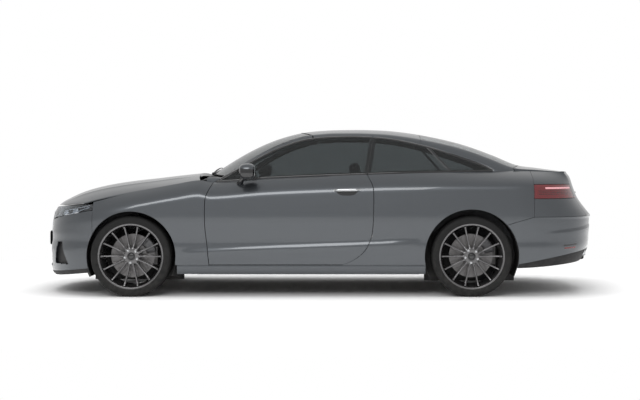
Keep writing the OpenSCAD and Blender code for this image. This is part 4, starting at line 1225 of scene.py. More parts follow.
@dataclass(frozen=True)
class Glass:
    """A clear or tinted glass whose tint varies a little over its surface."""

    name: str
    tint: tuple[float, float, float]
    film: tuple[float, float, float]
    roughness: float = 0.0
    ior: float = 1.45

    def material(self, groups: dict[Pattern, bpy.types.NodeTree]) -> bpy.types.Material:
        """Builds the glass as a Blender material."""
        material = bpy.data.materials.new(self.name)
        material.use_nodes = True
        w = Wiring(material.node_tree)
        shader = material.node_tree.nodes["Principled BSDF"]
        surface = w.add("Group")
        surface.node_tree = groups[Pattern.NOISE]
        values = (
            (*self.tint, 1), (*self.film, 1), self.roughness, self.roughness + 0.02, 3.0, 30.0, 0.01, 0.0
        )
        for socket, value in zip(surface.inputs, values):
            socket.default_value = value
        w.join(surface.outputs["Colour"], shader.inputs["Base Color"])
        shader.inputs["Roughness"].default_value = self.roughness
        shader.inputs["Transmission Weight"].default_value = 1.0
        shader.inputs["IOR"].default_value = self.ior
        material.diffuse_color = (*self.tint, 0.4)
        return material


@dataclass(frozen=True)
class Glow:
    """A lit or bright lens: a finish with a little light of its own in fine ribs."""

    name: str
    colour: tuple[float, float, float]
    strength: float
    ribs: float = 160.0

    def material(self, groups: dict[Pattern, bpy.types.NodeTree]) -> bpy.types.Material:
        """Builds the lens as a Blender material."""
        material = bpy.data.materials.new(self.name)
        material.use_nodes = True
        w = Wiring(material.node_tree)
        shader = material.node_tree.nodes["Principled BSDF"]
        wave = w.add("TexWave", bands_direction="Y")
        wave.inputs["Scale"].default_value = self.ribs
        w.join(w.add("TexCoord").outputs["Object"], wave.inputs["Vector"])
        dim = tuple(0.6 * c for c in self.colour)
        colour = w.blend(wave.outputs["Fac"], (*self.colour, 1), (*dim, 1))
        w.join(colour, shader.inputs["Base Color"])
        w.join(colour, shader.inputs["Emission Color"])
        shader.inputs["Emission Strength"].default_value = self.strength
        shader.inputs["Roughness"].default_value = 0.2
        shader.inputs["Coat Weight"].default_value = 0.6
        return material


PAINT_COLOUR, PAINT_FLAKE = (0.088, 0.096, 0.106), (0.066, 0.073, 0.081)
FINISHES: tuple[Finish | Glass | Glow, ...] = (
    Finish(
        "grey_metallic_paint", PAINT_COLOUR, PAINT_FLAKE, 0.30, 0.38, 700, 2600, 0.05, metallic=0.8, coat=1.0,
        coat_rough=0.03
    ),
    Finish(
        "door_lining", (0.020, 0.020, 0.022), (0.030, 0.030, 0.033), 0.5, 0.65, 9, 900, 0.25,
        pattern=Pattern.LEATHER
    ),
    Finish(
        "inner_sheet", (0.03, 0.031, 0.033), (0.045, 0.046, 0.05), 0.45, 0.6, 6, 500, 0.15, metallic=0.3,
        dust=0.3
    ),
    Finish(
        "black_grained_plastic", (0.010, 0.010, 0.011), (0.016, 0.016, 0.017), 0.45, 0.65, 12, 1100, 0.35,
        specular=0.3, dust=0.12
    ),
    Finish(
        "gloss_black_trim", (0.006, 0.006, 0.007), (0.010, 0.010, 0.011), 0.06, 0.14, 8, 600, 0.02, coat=0.8
    ),
    Finish("bright_trim", (0.62, 0.63, 0.64), (0.50, 0.51, 0.52), 0.12, 0.26, 20, 900, 0.04, metallic=1.0),
    Finish("underbody_seal", (0.014, 0.014, 0.015), (0.030, 0.029, 0.028), 0.6, 0.85, 7, 260, 0.6, dust=0.6),
    Finish(
        "tyre_rubber", (0.008, 0.008, 0.008), (0.014, 0.014, 0.014), 0.60, 0.80, 30, 1400, 0.30,
        specular=0.22, dust=0.06
    ),
    Finish(
        "titanium_rim", (0.120, 0.118, 0.120), (0.165, 0.162, 0.165), 0.22, 0.34, 18, 1500, 0.05,
        metallic=0.9, coat=0.5, dust=0.08
    ),
    Finish(
        "brake_disc", (0.20, 0.20, 0.205), (0.13, 0.12, 0.115), 0.28, 0.45, 40, 700, 0.25, metallic=1.0,
        pattern=Pattern.BRUSHED
    ),
    Finish(
        "cast_iron", (0.06, 0.06, 0.063), (0.10, 0.098, 0.096), 0.5, 0.7, 16, 420, 0.5, metallic=0.6, dust=0.3
    ),
    Finish(
        "caliper_grey", (0.10, 0.10, 0.105), (0.14, 0.14, 0.145), 0.35, 0.5, 20, 600, 0.15, metallic=0.5,
        dust=0.2
    ),
    Finish(
        "exhaust_steel", (0.35, 0.33, 0.31), (0.22, 0.19, 0.17), 0.2, 0.42, 5, 500, 0.12, metallic=1.0,
        pattern=Pattern.BRUSHED
    ),
    Finish(
        "dash_moulding", (0.014, 0.014, 0.016), (0.022, 0.022, 0.024), 0.55, 0.75, 8, 1000, 0.35,
        pattern=Pattern.LEATHER
    ),
    Finish(
        "seat_leather", (0.030, 0.027, 0.026), (0.046, 0.042, 0.040), 0.42, 0.58, 6, 520, 0.45, coat=0.08,
        sheen=0.1, pattern=Pattern.LEATHER
    ),
    Finish("seat_stitch", (0.16, 0.155, 0.15), (0.22, 0.21, 0.20), 0.6, 0.8, 60, 2400, 0.5, sheen=0.3),
    Finish("carpet", (0.018, 0.018, 0.02), (0.034, 0.034, 0.037), 0.85, 0.98, 30, 1800, 0.9, sheen=0.4),
    Finish("headliner", (0.30, 0.30, 0.29), (0.36, 0.36, 0.35), 0.8, 0.95, 12, 1500, 0.4, sheen=0.3),
    Finish("screen_dark", (0.008, 0.010, 0.013), (0.012, 0.014, 0.018), 0.05, 0.12, 4, 200, 0.01, coat=1.0),
    Finish("mirror_face", (0.86, 0.87, 0.88), (0.84, 0.85, 0.86), 0.01, 0.03, 2, 100, 0.0, metallic=1.0),
    Finish("lamp_reflector", (0.80, 0.81, 0.83), (0.66, 0.67, 0.70), 0.05, 0.14, 30, 300, 0.10, metallic=1.0),
    Finish("plate_blank", (0.72, 0.72, 0.70), (0.66, 0.66, 0.64), 0.25, 0.4, 10, 600, 0.08, coat=0.4),
    Finish("tail_red", (0.150, 0.004, 0.008), (0.085, 0.003, 0.005), 0.08, 0.16, 60, 260, 0.12, coat=1.0),
    Glass("tinted_glass", (0.20, 0.22, 0.225), (0.18, 0.20, 0.205)),
    Glass("clear_lens", (0.62, 0.65, 0.68), (0.58, 0.61, 0.64)),
    Glow("lamp_line", (0.62, 0.66, 0.72), 0.12),
    Glow("tail_line", (0.85, 0.42, 0.45), 0.25),
)


class Paintbox:
    """Every finish as a Blender material, made once and found by name."""

    def __init__(self) -> None:
        """Builds the node groups and the materials."""
        groups = {pattern: surface_group(pattern) for pattern in Pattern}
        self._materials = {finish.name: finish.material(groups) for finish in FINISHES}

    def __getitem__(self, name: str) -> bpy.types.Material:
        """The material of that name."""
        return self._materials[name]


# ---- Pieces ----


def outward(solid: Solid) -> Solid:
    """The solid with its faces turned outwards if the signed volume, a sum over face fans, is negative."""
    volume = 0.0
    for faces in solid.faces:
        a = solid.points[faces[:, 0]]
        for k in range(1, faces.shape[1] - 1):
            b, c = solid.points[faces[:, k]], solid.points[faces[:, k + 1]]
            volume += float(np.einsum("ij,ij->i", a, np.cross(b, c)).sum())
    if volume >= 0:
        return solid
    return Solid(solid.points, [f[:, ::-1] for f in solid.faces], list(solid.finish))


@dataclass
class Workshop:
    """Turns solids into finished pieces on the frame's bodies."""

    paints: Paintbox
    sharp_deg: float = 38.0
    merge: float = 0.00002

    def piece(
        self,
        name: str,
        solid: Solid,
        body: str,
        finishes: Sequence[str],
        slot: str,
        replaces: Sequence[str] = (),
        bevel: float = 0.0,
        padded: bool = False,
    ) -> bpy.types.Object:
        """Builds one piece.

        Args:
            name: the piece's name.
            solid: its points and faces, in metres.
            body: the frame's body that it rides on.
            finishes: material names, by the solid's finish numbers.
            slot: not used.
            replaces: CAD nodes that it stands for.
            bevel: width of its rounded edges in metres.
            padded: not used.
        """
        mesh = bpy.data.meshes.new(name)
        faces = [row for block in solid.faces for row in block.tolist()]
        mesh.from_pydata(solid.points.tolist(), [], faces)
        for finish in finishes:
            mesh.materials.append(self.paints[finish])
        numbers = np.concatenate([np.full(len(f), n) for f, n in zip(solid.faces, solid.finish)])
        mesh.polygons.foreach_set("material_index", np.minimum(numbers, len(finishes) - 1).astype(np.int32))
        mesh.validate()
        work = bmesh.new()
        work.from_mesh(mesh)
        bmesh.ops.remove_doubles(work, verts=work.verts, dist=self.merge)
        bmesh.ops.dissolve_degenerate(work, dist=self.merge / 4, edges=work.edges)
        bmesh.ops.recalc_face_normals(work, faces=work.faces)
        work.to_mesh(mesh)
        work.free()
        mesh.polygons.foreach_set("use_smooth", np.ones(len(mesh.polygons), bool))
        mesh.set_sharp_from_angle(angle=math.radians(self.sharp_deg))
        thing = bpy.data.objects.new(name, mesh)
        bpy.context.scene.collection.objects.link(thing)
        if bevel:
            round_off = thing.modifiers.new("Rounded edges", "BEVEL")
            round_off.width = bevel
            round_off.segments = 2
            round_off.limit_method = "ANGLE"
            round_off.angle_limit = math.radians(50)
            round_off.harden_normals = True
        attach(thing, body)
        if replaces:
            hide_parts(*replaces)
        log.info("%s: %d faces on %s", name, len(mesh.polygons), body)
        return thing

    def dress(self, node: str, finish: str) -> None:
        """Gives a CAD node a finish of this script."""
        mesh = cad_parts[node].data
        mesh.materials.clear()
        mesh.materials.append(self.paints[finish])
        log.info("%s: finished in %s", node, finish)
# ---- Wheels and brakes ----


def axle_turned(solid: Solid, place: Sequence[float]) -> Solid:
    """A solid built about Z, with Z pointing out of the car's left side, moved to a wheel's centre."""
    return outward(solid).turned(0, math.pi / 2).moved(place)


@dataclass
class Tyre:
    """A tyre with a moulded tread: a closed section turned about the axle."""

    radius: float = 0.340
    width: float = 0.244
    steps: int = 400
    groove: float = 0.0055
    blocks: int = 60

    def solid(self) -> Solid:
        """The tyre about Z.

        The section is a table of radius and share of the half width, read evenly by a cubic. The
        tread falls by the groove's depth in four rings round the tyre and, at the shoulders, in
        slanting cuts where the phase of the angle times the number of blocks comes round.
        """
        wall = (
            (0, 0.262), (2, 0.272), (4, 0.290), (6, 0.308), (8, 0.324), (10, 0.3345), (12, 0.3388),
            (14, 0.3400)
        )
        wide = ((0, 0.84), (2, 0.93), (4, 0.985), (6, 1.0), (8, 0.975), (10, 0.90), (12, 0.80), (14, 0.68))
        t = np.linspace(0, 14, 30)
        share, side = curve(t, wide), curve(t, wall)
        tread = np.linspace(0.66, -0.66, 62)
        h = np.concatenate([share, tread, -share[::-1]]) * self.width / 2
        r = np.concatenate([side, np.full(62, self.radius), side[::-1]])
        a = np.arange(self.steps) * 2 * np.pi / self.steps
        flat = np.abs(h) < 0.36 * self.width
        rings = np.min(
            np.abs(np.abs(h)[:, None] / self.width - np.array([0.085, 0.235])), axis=1
        ) * self.width < 0.0042
        phase = (a[None, :] * self.blocks / (2 * np.pi) + h[:, None] * 18) % 1
        cuts = (phase < 0.16) & (np.abs(h)[:, None] > 0.27 * self.width) & (r[:, None] > 0.3335)
        sipes = (phase > 0.5) & (phase < 0.6) & flat[:, None] & (np.abs(h)[:, None] < 0.22 * self.width)
        depth = self.groove * ((rings & flat)[:, None] | cuts) + 0.5 * self.groove * sipes
        rib = 0.0012 * np.exp(
            -(((r - 0.281) / 0.0022) ** 2)
        ) + 0.0008 * np.exp(-(((r - 0.312) / 0.0016) ** 2))
        out = (h + np.sign(h) * rib)[:, None] + 0 * a
        points = point((r[:, None] - depth) * np.cos(a), (r[:, None] - depth) * np.sin(a), out)
        return Solid(points.reshape(-1, 3), [np.concatenate([
            grid_faces(self.steps, len(h) - 1, around=True),
            self._closing(len(h)),
        ])])

    def _closing(self, rows: int) -> Array:
        """Quads from the last row of points back to the first, across the bead."""
        i = np.arange(self.steps)
        last = (rows - 1) * self.steps
        return np.stack([last + i, last + (i + 1) % self.steps, (i + 1) % self.steps, i], -1)


@dataclass
class Rim:
    """A light alloy rim with straight thin spokes, five bolts and a bare centre cap."""

    width: float = 0.236
    lip: float = 0.276
    spokes: int = 14
    hub: float = 0.074
    bolt_circle: float = 0.056
    bolts: int = 5

    def barrel(self) -> Solid:
        """The rim's ring: two flanges and the drop between them, turned about the axle."""
        w = self.width / 2
        section = [
            (self.lip, w), (self.lip - 0.003, w), (self.lip - 0.013, w - 0.003), (0.2585, w - 0.016),
            (0.2545, w - 0.055), (0.240, w - 0.085), (0.240, -w + 0.06), (0.254, -w + 0.03),
            (0.256, -w + 0.004), (self.lip - 0.002, -w), (self.lip, -w + 0.002),
            (self.lip - 0.002, -w + 0.007), (0.2615, -w + 0.010), (0.2600, -w + 0.034),
            (0.246, -w + 0.065), (0.246, w - 0.090), (0.2605, w - 0.055), (0.2615, w - 0.012),
            (self.lip - 0.002, w - 0.007), (self.lip, w - 0.002),
        ]
        return ring(np.array(section), 144)

    def spoke_set(self) -> Solid:
        """The spokes, each a rounded bar that widens towards the hub and the ring."""
        t = np.linspace(0, 1, 26)
        r = mix(0.060, 0.2590, t)
        h = self.width / 2 + mix(-0.034, -0.020, t) - 0.010 * np.sin(np.pi * t)
        wide = 1.0 + 0.75 * (1 - smooth(t / 0.22)) + 0.35 * smooth((t - 0.86) / 0.14)
        section = oval(0.0165, 0.036, 24, 3.4)
        parts = []
        for k in range(self.spokes):
            a = 2 * math.pi * k / self.spokes
            path = point(r * math.cos(a), r * math.sin(a), h - 0.016)
            parts.append(tube(path, section, wide))
        return join(parts)

    def centre(self) -> Solid:
        """The hub with its rounded face."""
        w = self.width / 2
        section = [
            (0.0, w - 0.040), (0.030, w - 0.040), (0.033, w - 0.034), (
                self.hub - 0.012, w - 0.031
            ), (self.hub - 0.004, w - 0.034),
            (self.hub, w - 0.042), (self.hub, w - 0.072), (self.hub - 0.006, w - 0.090), (0.0, w - 0.090),
        ]
        return ring(np.array(section) + [[0.0001, 0]], 96)

    def cap(self) -> Solid:
        """The bare centre cap: a flat dome with a groove round it."""
        w = self.width / 2
        section = [
            (0.0001, w - 0.0295), (0.012, w - 0.0300), (0.020, w - 0.0310), (0.0225, w - 0.0325),
            (0.0235, w - 0.0345), (0.0250, w - 0.0325), (0.0290, w - 0.0330), (0.0300, w - 0.0350),
            (0.0300, w - 0.045), (0.0001, w - 0.045),
        ]
        return ring(np.array(section), 72)

    def bolt_set(self) -> Solid:
        """The wheel bolts: six-sided heads with a rounded collar."""
        w = self.width / 2
        head = ring(
            np.array(
                [
                    (0.0001, w - 0.0205), (0.0072, w - 0.0205), (0.0085, w - 0.022), (0.0085, w - 0.033),
                    (0.0001, w - 0.033)
                ]
            ),
            6
        )
        collar = ring(
            np.array(
                [
                    (0.0001, w - 0.0285), (0.0105, w - 0.0285), (0.0125, w - 0.0305), (0.0125, w - 0.034),
                    (0.0001, w - 0.034)
                ]
            ),
            32
        )
        parts = []
        for k in range(self.bolts):
            a = 2 * math.pi * (k + 0.5) / self.bolts + 0.2
            step = (self.bolt_circle * math.cos(a), self.bolt_circle * math.sin(a), 0)
            parts += [head.moved(step), collar.moved(step)]
        return join(parts)

    def valve(self) -> Solid:
        """The tyre valve, leaning in from the ring between two spokes."""
        a = 2 * math.pi * 3.5 / self.spokes
        t = np.linspace(0, 1, 8)
        r, h = mix(0.2575, 0.230, t), mix(self.width / 2 - 0.040, self.width / 2 - 0.020, t)
        return tube(point(r * math.cos(a), r * math.sin(a), h), oval(0.008, 0.008, 16))


@dataclass
class Brake:
    """A vented brake disc and the caliper over it."""

    radius: float = 0.185
    face: float = 0.007
    thickness: float = 0.030
    slots: int = 18

    def disc(self) -> Solid:
        """The two plates and the hat, turned about the axle, with slanting slots in the outer plate.

        A slot is where the phase of the angle, shifted by the radius, is near a whole number.
        """
        top, low = self.face, self.face - self.thickness
        r_face = np.linspace(self.radius, 0.112, 26)
        rim = [(self.radius, low), (self.radius, low + 0.010), (self.radius - 0.012, low + 0.011),
               (self.radius - 0.012, top - 0.011), (self.radius, top - 0.010)]
        inner = [
            (0.106, top + 0.0005), (0.100, top + 0.0005), (0.088, top + 0.0010), (0.079, top + 0.0012),
            (0.010, top + 0.0012),
                 (0.010, low), (0.112, low)]
        profile = np.array(rim + [(r, top) for r in r_face] + inner)
        solid = ring(profile, 360)
        p = solid.points
        r, a = np.hypot(p[:, 0], p[:, 1]), np.arctan2(p[:, 1], p[:, 0])
        phase = (a * self.slots / (2 * np.pi) + (r - 0.11) * 9) % 1
        cut = (np.abs(phase - 0.5) < 0.05) & (r > 0.120) & (r < self.radius - 0.006) & (p[:, 2] > top - 0.001)
        p[:, 2] -= 0.0018 * cut
        return solid

    def vanes(self) -> Solid:
        """The cooling vanes between the plates, seen as a dark ribbed ring."""
        steps = 240
        outer, inner = self.radius - 0.007, self.radius - 0.011
        low, high = self.face - 0.020, self.face - 0.010
        solid = ring(np.array([(outer, low), (outer, high), (inner, high), (inner, low)]), steps)
        p = solid.points
        wave = 1 - 0.02 * (np.arange(len(p)) % 4 < 2)
        p[:, :2] *= wave[:, None]
        return solid

    def caliper(self, middle_deg: float = 31.0, span_deg: float = 46.0) -> Solid:
        """The caliper: a rounded block bent round the disc, cut back over the disc's edge.

        A block's length becomes an arc, its height a radius and its depth the distance along the
        axle. Where it lies over the pads it stands out by a few millimetres in two round humps.
        """
        block = pillow((1.0, 1.0, 1.0), 5.5, 72)
        p = block.points * 2
        a = np.radians(middle_deg + span_deg / 2 * p[:, 0])
        r = 0.162 + 0.042 * p[:, 1] - 0.012 * (p[:, 1] < 0) * p[:, 0] ** 2
        hump = 0.0035 * np.exp(-(((np.abs(p[:, 0]) - 0.45) / 0.22) ** 2)) * (p[:, 2] > 0.6)
        h = -0.0345 + 0.0535 * p[:, 2] + hump
        return outward(Solid(point(r * np.cos(a), r * np.sin(a), h), block.faces))


@dataclass
class Wheels:
    """The four wheels with their brakes."""

    shop: Workshop
    front: Sequence[float] = (-1.575, -0.790, 0.340)
    rear: Sequence[float] = (1.298, -0.785, 0.340)

    def build(self) -> None:
        """Makes tyre, rim, disc and caliper of every wheel, the right ones as mirror images."""
        for end, place, wide in ((End.FRONT, self.front, 0.0), (End.REAR, self.rear, 0.022)):
            tyre, rim, brake = Tyre(width=0.244 + wide), Rim(width=0.236 + wide), Brake()
            metal = join([outward(part) for part in (rim.barrel(), rim.centre())] + [rim.spoke_set()])
            details = join(
                [outward(rim.cap()).painted(1), outward(rim.bolt_set()), outward(rim.valve()).painted(1)]
            )
            for side in Side:
                spot = (place[0], place[1], place[2])
                tag = f"{end.name.lower()}_{side.name.lower()}"
                body = f"wheel_{tag}"
                self._wheel_piece(
                    f"{tag}_tread_tyre", tyre.solid(), spot, side, body, ("tyre_rubber",), "tyre_rubber",
                    (f"{tag}_tyre",)
                )
                self._wheel_piece(
                    f"{tag}_spoked_rim", metal, spot, side, body, ("titanium_rim",), "rim_alloy",
                    (f"{tag}_rim",)
                )
                self._wheel_piece(
                    f"{tag}_bolts", details, spot, side, body, ("bright_trim", "gloss_black_trim"),
                    "rim_alloy"
                )
                disc = join([outward(brake.disc()), outward(brake.vanes()).painted(1)])
                self._wheel_piece(
                    f"{tag}_slotted_disc", disc, spot, side, body, ("brake_disc", "cast_iron"), "disc_iron",
                    (f"{tag}_disc",)
                )
                carrier = f"steer_{side.name.lower()}" if end is End.FRONT else "car_body"
                self._wheel_piece(
                    f"{tag}_caliper", brake.caliper(), spot, side, carrier, ("caliper_grey",), "knuckle_iron"
                )

    def _wheel_piece(
        self, name: str, solid: Solid, place: Sequence[float], side: Side, body: str,
        finishes: Sequence[str], slot: str,
        replaces: Sequence[str] = (),
    ) -> None:
        """Places one piece at a wheel and hands it to the workshop."""
        placed = axle_turned(solid, place)
        if side is Side.RIGHT:
            placed = placed.mirrored()
        self.shop.piece(name, placed, body, finishes, slot, replaces)


# ---- Lamps, trim and fittings ----


@dataclass
class Trim:
    """Everything fixed on the outside of the shell: lamps, grille, seals, mirrors, handles and plates."""

    body: Body
    shop: Workshop

    def build(self) -> None:
        """Makes the outside fittings, group by group."""
        self._head_lamps()
        self._tail_lamps()
        self._nose()
        self._tail()
        self._window_seals()
        for side in Side:
            self._mirror(side)
            self._handle(side)
        self._wipers()

    def _skin_at(self, x: float, z: float, t: float = 0.0) -> Array:
        """A point of the left flank at a station and height, in metres."""
        skin = self.body.skin
        return skin.skin(skin.along(x, z), np.array(float(z)), t) * MM

    def _patch(
        self, low: Edge, high: Edge, front: float, back: float, out: float, thick: float, nu: int = 40,
        nv: int = 12
    ) -> Solid:
        """A thin sheet on the left flank between two heights, given by share from front to back."""
        skin = self.body.skin

        def at(u: Array, v: Array, t: float) -> Array:
            """Points of the flank at a depth."""
            x, z = mix(front, back, u), mix(low(u), high(u), v)
            return skin.skin(skin.along(x, z), z, t)

        return slab(nu, nv, lambda u, v: at(u, v, -out), lambda u, v: at(u, v, thick - out))

    def _head_lamps(self) -> None:
        """Makes the lamp housings, their projectors, reflectors and light lines, and the clear lenses."""
        body, shop = self.body, self.shop
        shop.piece(
            "head_lamp_housings", both(outward(body.head_lamp(27, 8))), "car_body", ("gloss_black_trim",),
            "black_trim", ("head_lamps",)
        )
        shop.piece(
            "head_lamp_lenses", both(outward(body.head_lamp(0, 2.5, 0.005))), "car_body", ("clear_lens",),
            "lamp_clear", bevel=0.0008
        )
        eyes = []
        for x, z, r in ((-2064, 706, 0.030), (-2168, 694, 0.026)):
            bezel = np.array(
                [
                    (r, 0), (r + 0.006, 0.002), (r + 0.008, -0.003), (r + 0.006, -0.020), (r, -0.020),
                    (r - 0.002, -0.004)
                ]
            )
            eye = np.array(
                [
                    (0.0001, 0.006), (r * 0.35, 0.005), (r * 0.7, 0.001), (r * 0.92, -0.005),
                    (r * 0.95, -0.016), (0.0001, -0.016)
                ]
            )
            place = self._skin_at(x, z, 17)
            turn = math.radians(38)
            for part, number in ((ring(bezel, 64), 0), (ring(eye, 64), 1)):
                turned = outward(part).turned(0, math.pi / 2).turned(2, -turn)
                eyes.append(turned.moved(place).painted(number))
        shop.piece(
            "head_lamp_projectors", both(join(eyes)), "car_body", ("bright_trim", "lamp_reflector"),
            "lamp_clear"
        )
        t = np.linspace(0, 1, 60)
        low = [self._skin_at(x, z, 12) for x, z in zip(mix(-2205, -1935, t), 664 + 78 * t + 10 * t * t)]
        brow = [self._skin_at(x, z, 12) for x, z in zip(mix(-2190, -1930, t), 712 + 54 * t)]
        shop.piece(
            "head_lamp_light_lines", both(outward(tube(np.array(low), oval(0.005, 0.006, 16)))), "car_body",
            ("lamp_line",), "lamp_clear"
        )
        shop.piece(
            "head_lamp_fins", both(outward(tube(np.array(brow), oval(0.004, 0.006, 16, 4)))), "car_body",
            ("lamp_reflector",), "lamp_clear"
        )

    def _tail_lamps(self) -> None:
        """Makes the dark red lamp bodies, with a pale light line along their top and a black inner rim."""
        body, shop = self.body, self.shop
        low, high = body.lamp_z
        lamp = body.tail_corner(lambda u: low + 2 + 0 * u, lambda u: high - 2 + 0 * u, 30, back=0.6)
        shop.piece(
            "tail_lamp_bodies", both(outward(lamp)), "car_body", ("tail_red", "gloss_black_trim"), "lamp_red",
            ("tail_lamps",), 0.0015
        )
        line = self._corner_strip(908, 922, 0.20, 0.94)
        shop.piece("tail_lamp_lines", both(line), "car_body", ("tail_line",), "lamp_red")
        ribs = join([self._corner_strip(z, z + 2.2, 0.06, 0.96) for z in (862, 876, 890)])
        shop.piece("tail_lamp_ribs", both(ribs), "car_body", ("gloss_black_trim",), "lamp_red")

    def _corner_strip(self, low: float, high: float, first: float, last: float) -> Solid:
        """A narrow strip on the rear corner between two heights and two shares of the lamp's length."""
        body, skin = self.body, self.body.skin

        def at(u: Array, v: Array, t: float) -> Array:
            """Points of the corner at a depth."""
            z = mix(low, high, v)
            start = skin.along(body.tail_seam[0] + body.seam, z)
            stop = skin.along_width(body.boot_face_y + body.gap, z, End.REAR)
            return skin.skin(mix(start, stop, mix(first, last, u)), z, t)

        return outward(slab(60, 3, lambda u, v: at(u, v, -1.2), lambda u, v: at(u, v, 1.5)))

    def _nose(self) -> None:
        """Makes the grille, the intakes, the lip under the bumper and the front number plate."""
        body, shop = self.body, self.shop
        skin = body.skin
        sheets = [body.nose_sheet(415, 515, 706, 36), body.nose_sheet(515, 224, 408, 36)]
        sheets += [self._patch(lambda u: 258 + 0 * u, lambda u: 456 + 0 * u, -2300, -2075, -36, 4)]
        sheets += [sheets[-1].mirrored()]
        shop.piece(
            "nose_backing", join([outward(s) for s in sheets]), "car_body", ("black_grained_plastic",),
            "black_trim", ("grille",)
        )
        u = np.linspace(-1, 1, 81)
        slats = []
        for z in np.arange(540, 700, 17.0):
            half = 390 - 0.45 * max(0.0, 600 - z)
            s_end = float(skin.along_width(half, np.array(z), End.FRONT))
            slats.append(tube(skin.nose_point(u, s_end, z + 0 * u, 19) * MM, oval(0.016, 0.0055, 16, 3)))
        for z in (252, 278, 304, 330, 356, 382):
            half = 500 - 0.9 * max(0, z - 330)
            s_end = float(skin.along_width(half, np.array(float(z)), End.FRONT))
            slats.append(tube(skin.nose_point(u, s_end, z + 0 * u, 20) * MM, oval(0.012, 0.006, 16, 3)))
        for y in np.linspace(-360, 360, 19):
            low = 525 if abs(y) < 355 else 560
            v = np.linspace(low, 700, 14)
            s_end = float(skin.along_width(abs(float(y)) + 0.01, np.array(610.0), End.FRONT))
            side = np.full(14, math.copysign(1.0, y))
            slats.append(
                tube(skin.nose_point(side, s_end, v, 22) * MM, oval(0.004, 0.010, 12, 3), up=(0, 1, 0))
            )
        shop.piece(
            "grille_slats", join([outward(s) for s in slats]), "car_body", ("gloss_black_trim",), "black_trim"
        )
        y = np.concatenate([np.linspace(-395, 395, 60), [393, 361], np.linspace(361, -361, 56), [-361, -393]])
        z = np.concatenate([np.full(60, 700.0), [600, 526], np.full(56, 526.0), [526, 600]])
        loop = np.array([self._nose_at(a, b, 1.0) for a, b in zip(y, z)])
        loop = np.concatenate([loop, loop[:1]])
        shop.piece(
            "grille_frame", outward(tube(loop, oval(0.010, 0.012, 16, 3))), "car_body", ("bright_trim",),
            "black_trim"
        )
        bar = np.array([self._nose_at(a, 612, 14) for a in np.linspace(-380, 380, 60)])
        shop.piece(
            "grille_bar", outward(tube(bar, oval(0.014, 0.024, 20, 3))), "car_body", ("bright_trim",),
            "black_trim"
        )
        lip = self._lower_band(End.FRONT)
        shop.piece("front_lip", lip, "car_body", ("black_grained_plastic",), "black_trim")
        plate = pillow((0.010, 0.520, 0.112), 14, 64).moved((-2.416, 0, 0.462))
        frame_piece = pillow((0.008, 0.534, 0.126), 12, 64).moved((-2.413, 0, 0.462)).painted(1)
        shop.piece(
            "front_number_plate", join([plate, frame_piece]), "car_body",
            ("plate_blank", "black_grained_plastic"), "black_trim"
        )

    def _nose_at(self, y: float, z: float, t: float) -> Array:
        """A point of the nose at a side distance and height, in metres."""
        skin = self.body.skin
        s_end = float(skin.along_width(abs(y) + 0.01, np.array(float(z)), End.FRONT))
        return skin.nose_point(np.array(math.copysign(1.0, y)), s_end, np.array(float(z)), t) * MM

    def _lower_band(self, end: End) -> Solid:
        """The black band along the lower edge of a bumper, standing a little proud of it."""
        body, skin = self.body, self.body.skin

        def at(u: Array, v: Array, t: float) -> Array:
            """Points of the bumper near its lower edge."""
            side = 2 * u - 1
            a = np.abs(side)
            if end is End.FRONT:
                z = mix(150, 205, a * a) + mix(-6, 30, v)
                stop = skin.along(body.arch(End.FRONT, 180 - body.arch_deg(End.FRONT, z))[0] - 4, z)
                return skin.nose_point(np.sign(side), mix(skin.nose_end, stop, a), z, t)
            z = mix(300, 240, a**3) + mix(-22 * (1 - a**6), mix(88, 34, a**2), v)
            stop = skin.along(body.arch(End.REAR, body.arch_deg(End.REAR, z))[0] + 4, z)
            return skin.tail_point(np.sign(side), mix(skin.tail_end, stop, a), z, t)

        return outward(
            slab(180, 8, lambda u, v: at(u, v, -2.0 - 3 * np.sin(np.pi * v)), lambda u, v: at(u, v, 12))
        )

    def _tail(self) -> None:
        """Makes the diffuser, the side vents, the blind tailpipe trims, the reflectors and the rear plate."""
        body, shop = self.body, self.shop
        shop.piece(
            "rear_diffuser", self._lower_band(End.REAR), "car_body", ("black_grained_plastic",), "black_trim"
        )
        fins = []
        for y in (-0.36, -0.18, 0.18, 0.36):
            fins.append(pillow((0.150, 0.008, 0.085), 6, 32).moved((2.262, y, 0.318)))
        shop.piece("diffuser_fins", join(fins), "car_body", ("black_grained_plastic",), "black_trim")
        vent = self._patch(
            lambda u: 420 + 8 * u, lambda u: mix(432, 548, 1 - np.abs(2 * u - 0.9) ** 1.2 * 0.9), 2082, 2212,
            1.4, 4, 24, 16
        )
        shop.piece(
            "rear_bumper_vents", both(outward(vent)), "car_body", ("gloss_black_trim",), "black_trim",
            bevel=0.001
        )
        flag = self._patch(lambda u: 398 + 4 * u, lambda u: 412 + 4 * u, 2090, 2200, 1.8, 5, 24, 3)
        shop.piece("rear_reflectors", both(outward(flag)), "car_body", ("tail_red",), "lamp_red", bevel=0.001)
        trims = []
        for y in (-0.47, 0.47):
            section = oval(0.165, 0.062, 64, 4.5)
            x = np.array([0.0, 0.012, 0.030, 0.055])
            path = point(2.262 + x, y + 0 * x, 0.352 + 0 * x)
            outer = tube(path, section, np.array([0.97, 1.0, 1.0, 0.98]))
            core = tube(path + [0.0015, 0, 0], section, 0.86).painted(1)
            trims += [outward(outer), outward(core)]
        shop.piece(
            "tailpipe_trims", join(trims), "car_body", ("bright_trim", "gloss_black_trim"), "black_trim"
        )
        foot, head, brow = (
            float(np.asarray(body.tail_x(np.array(0.0), np.array(z)))) * MM for z in (727.0, 827.0, 868.0)
        )
        lean = math.atan2(head - foot, 0.100)
        middle = ((foot + head) / 2 - 0.010, 0, 0.777)
        plate = pillow((0.010, 0.500, 0.110), 14, 64).turned(1, lean).moved(middle)
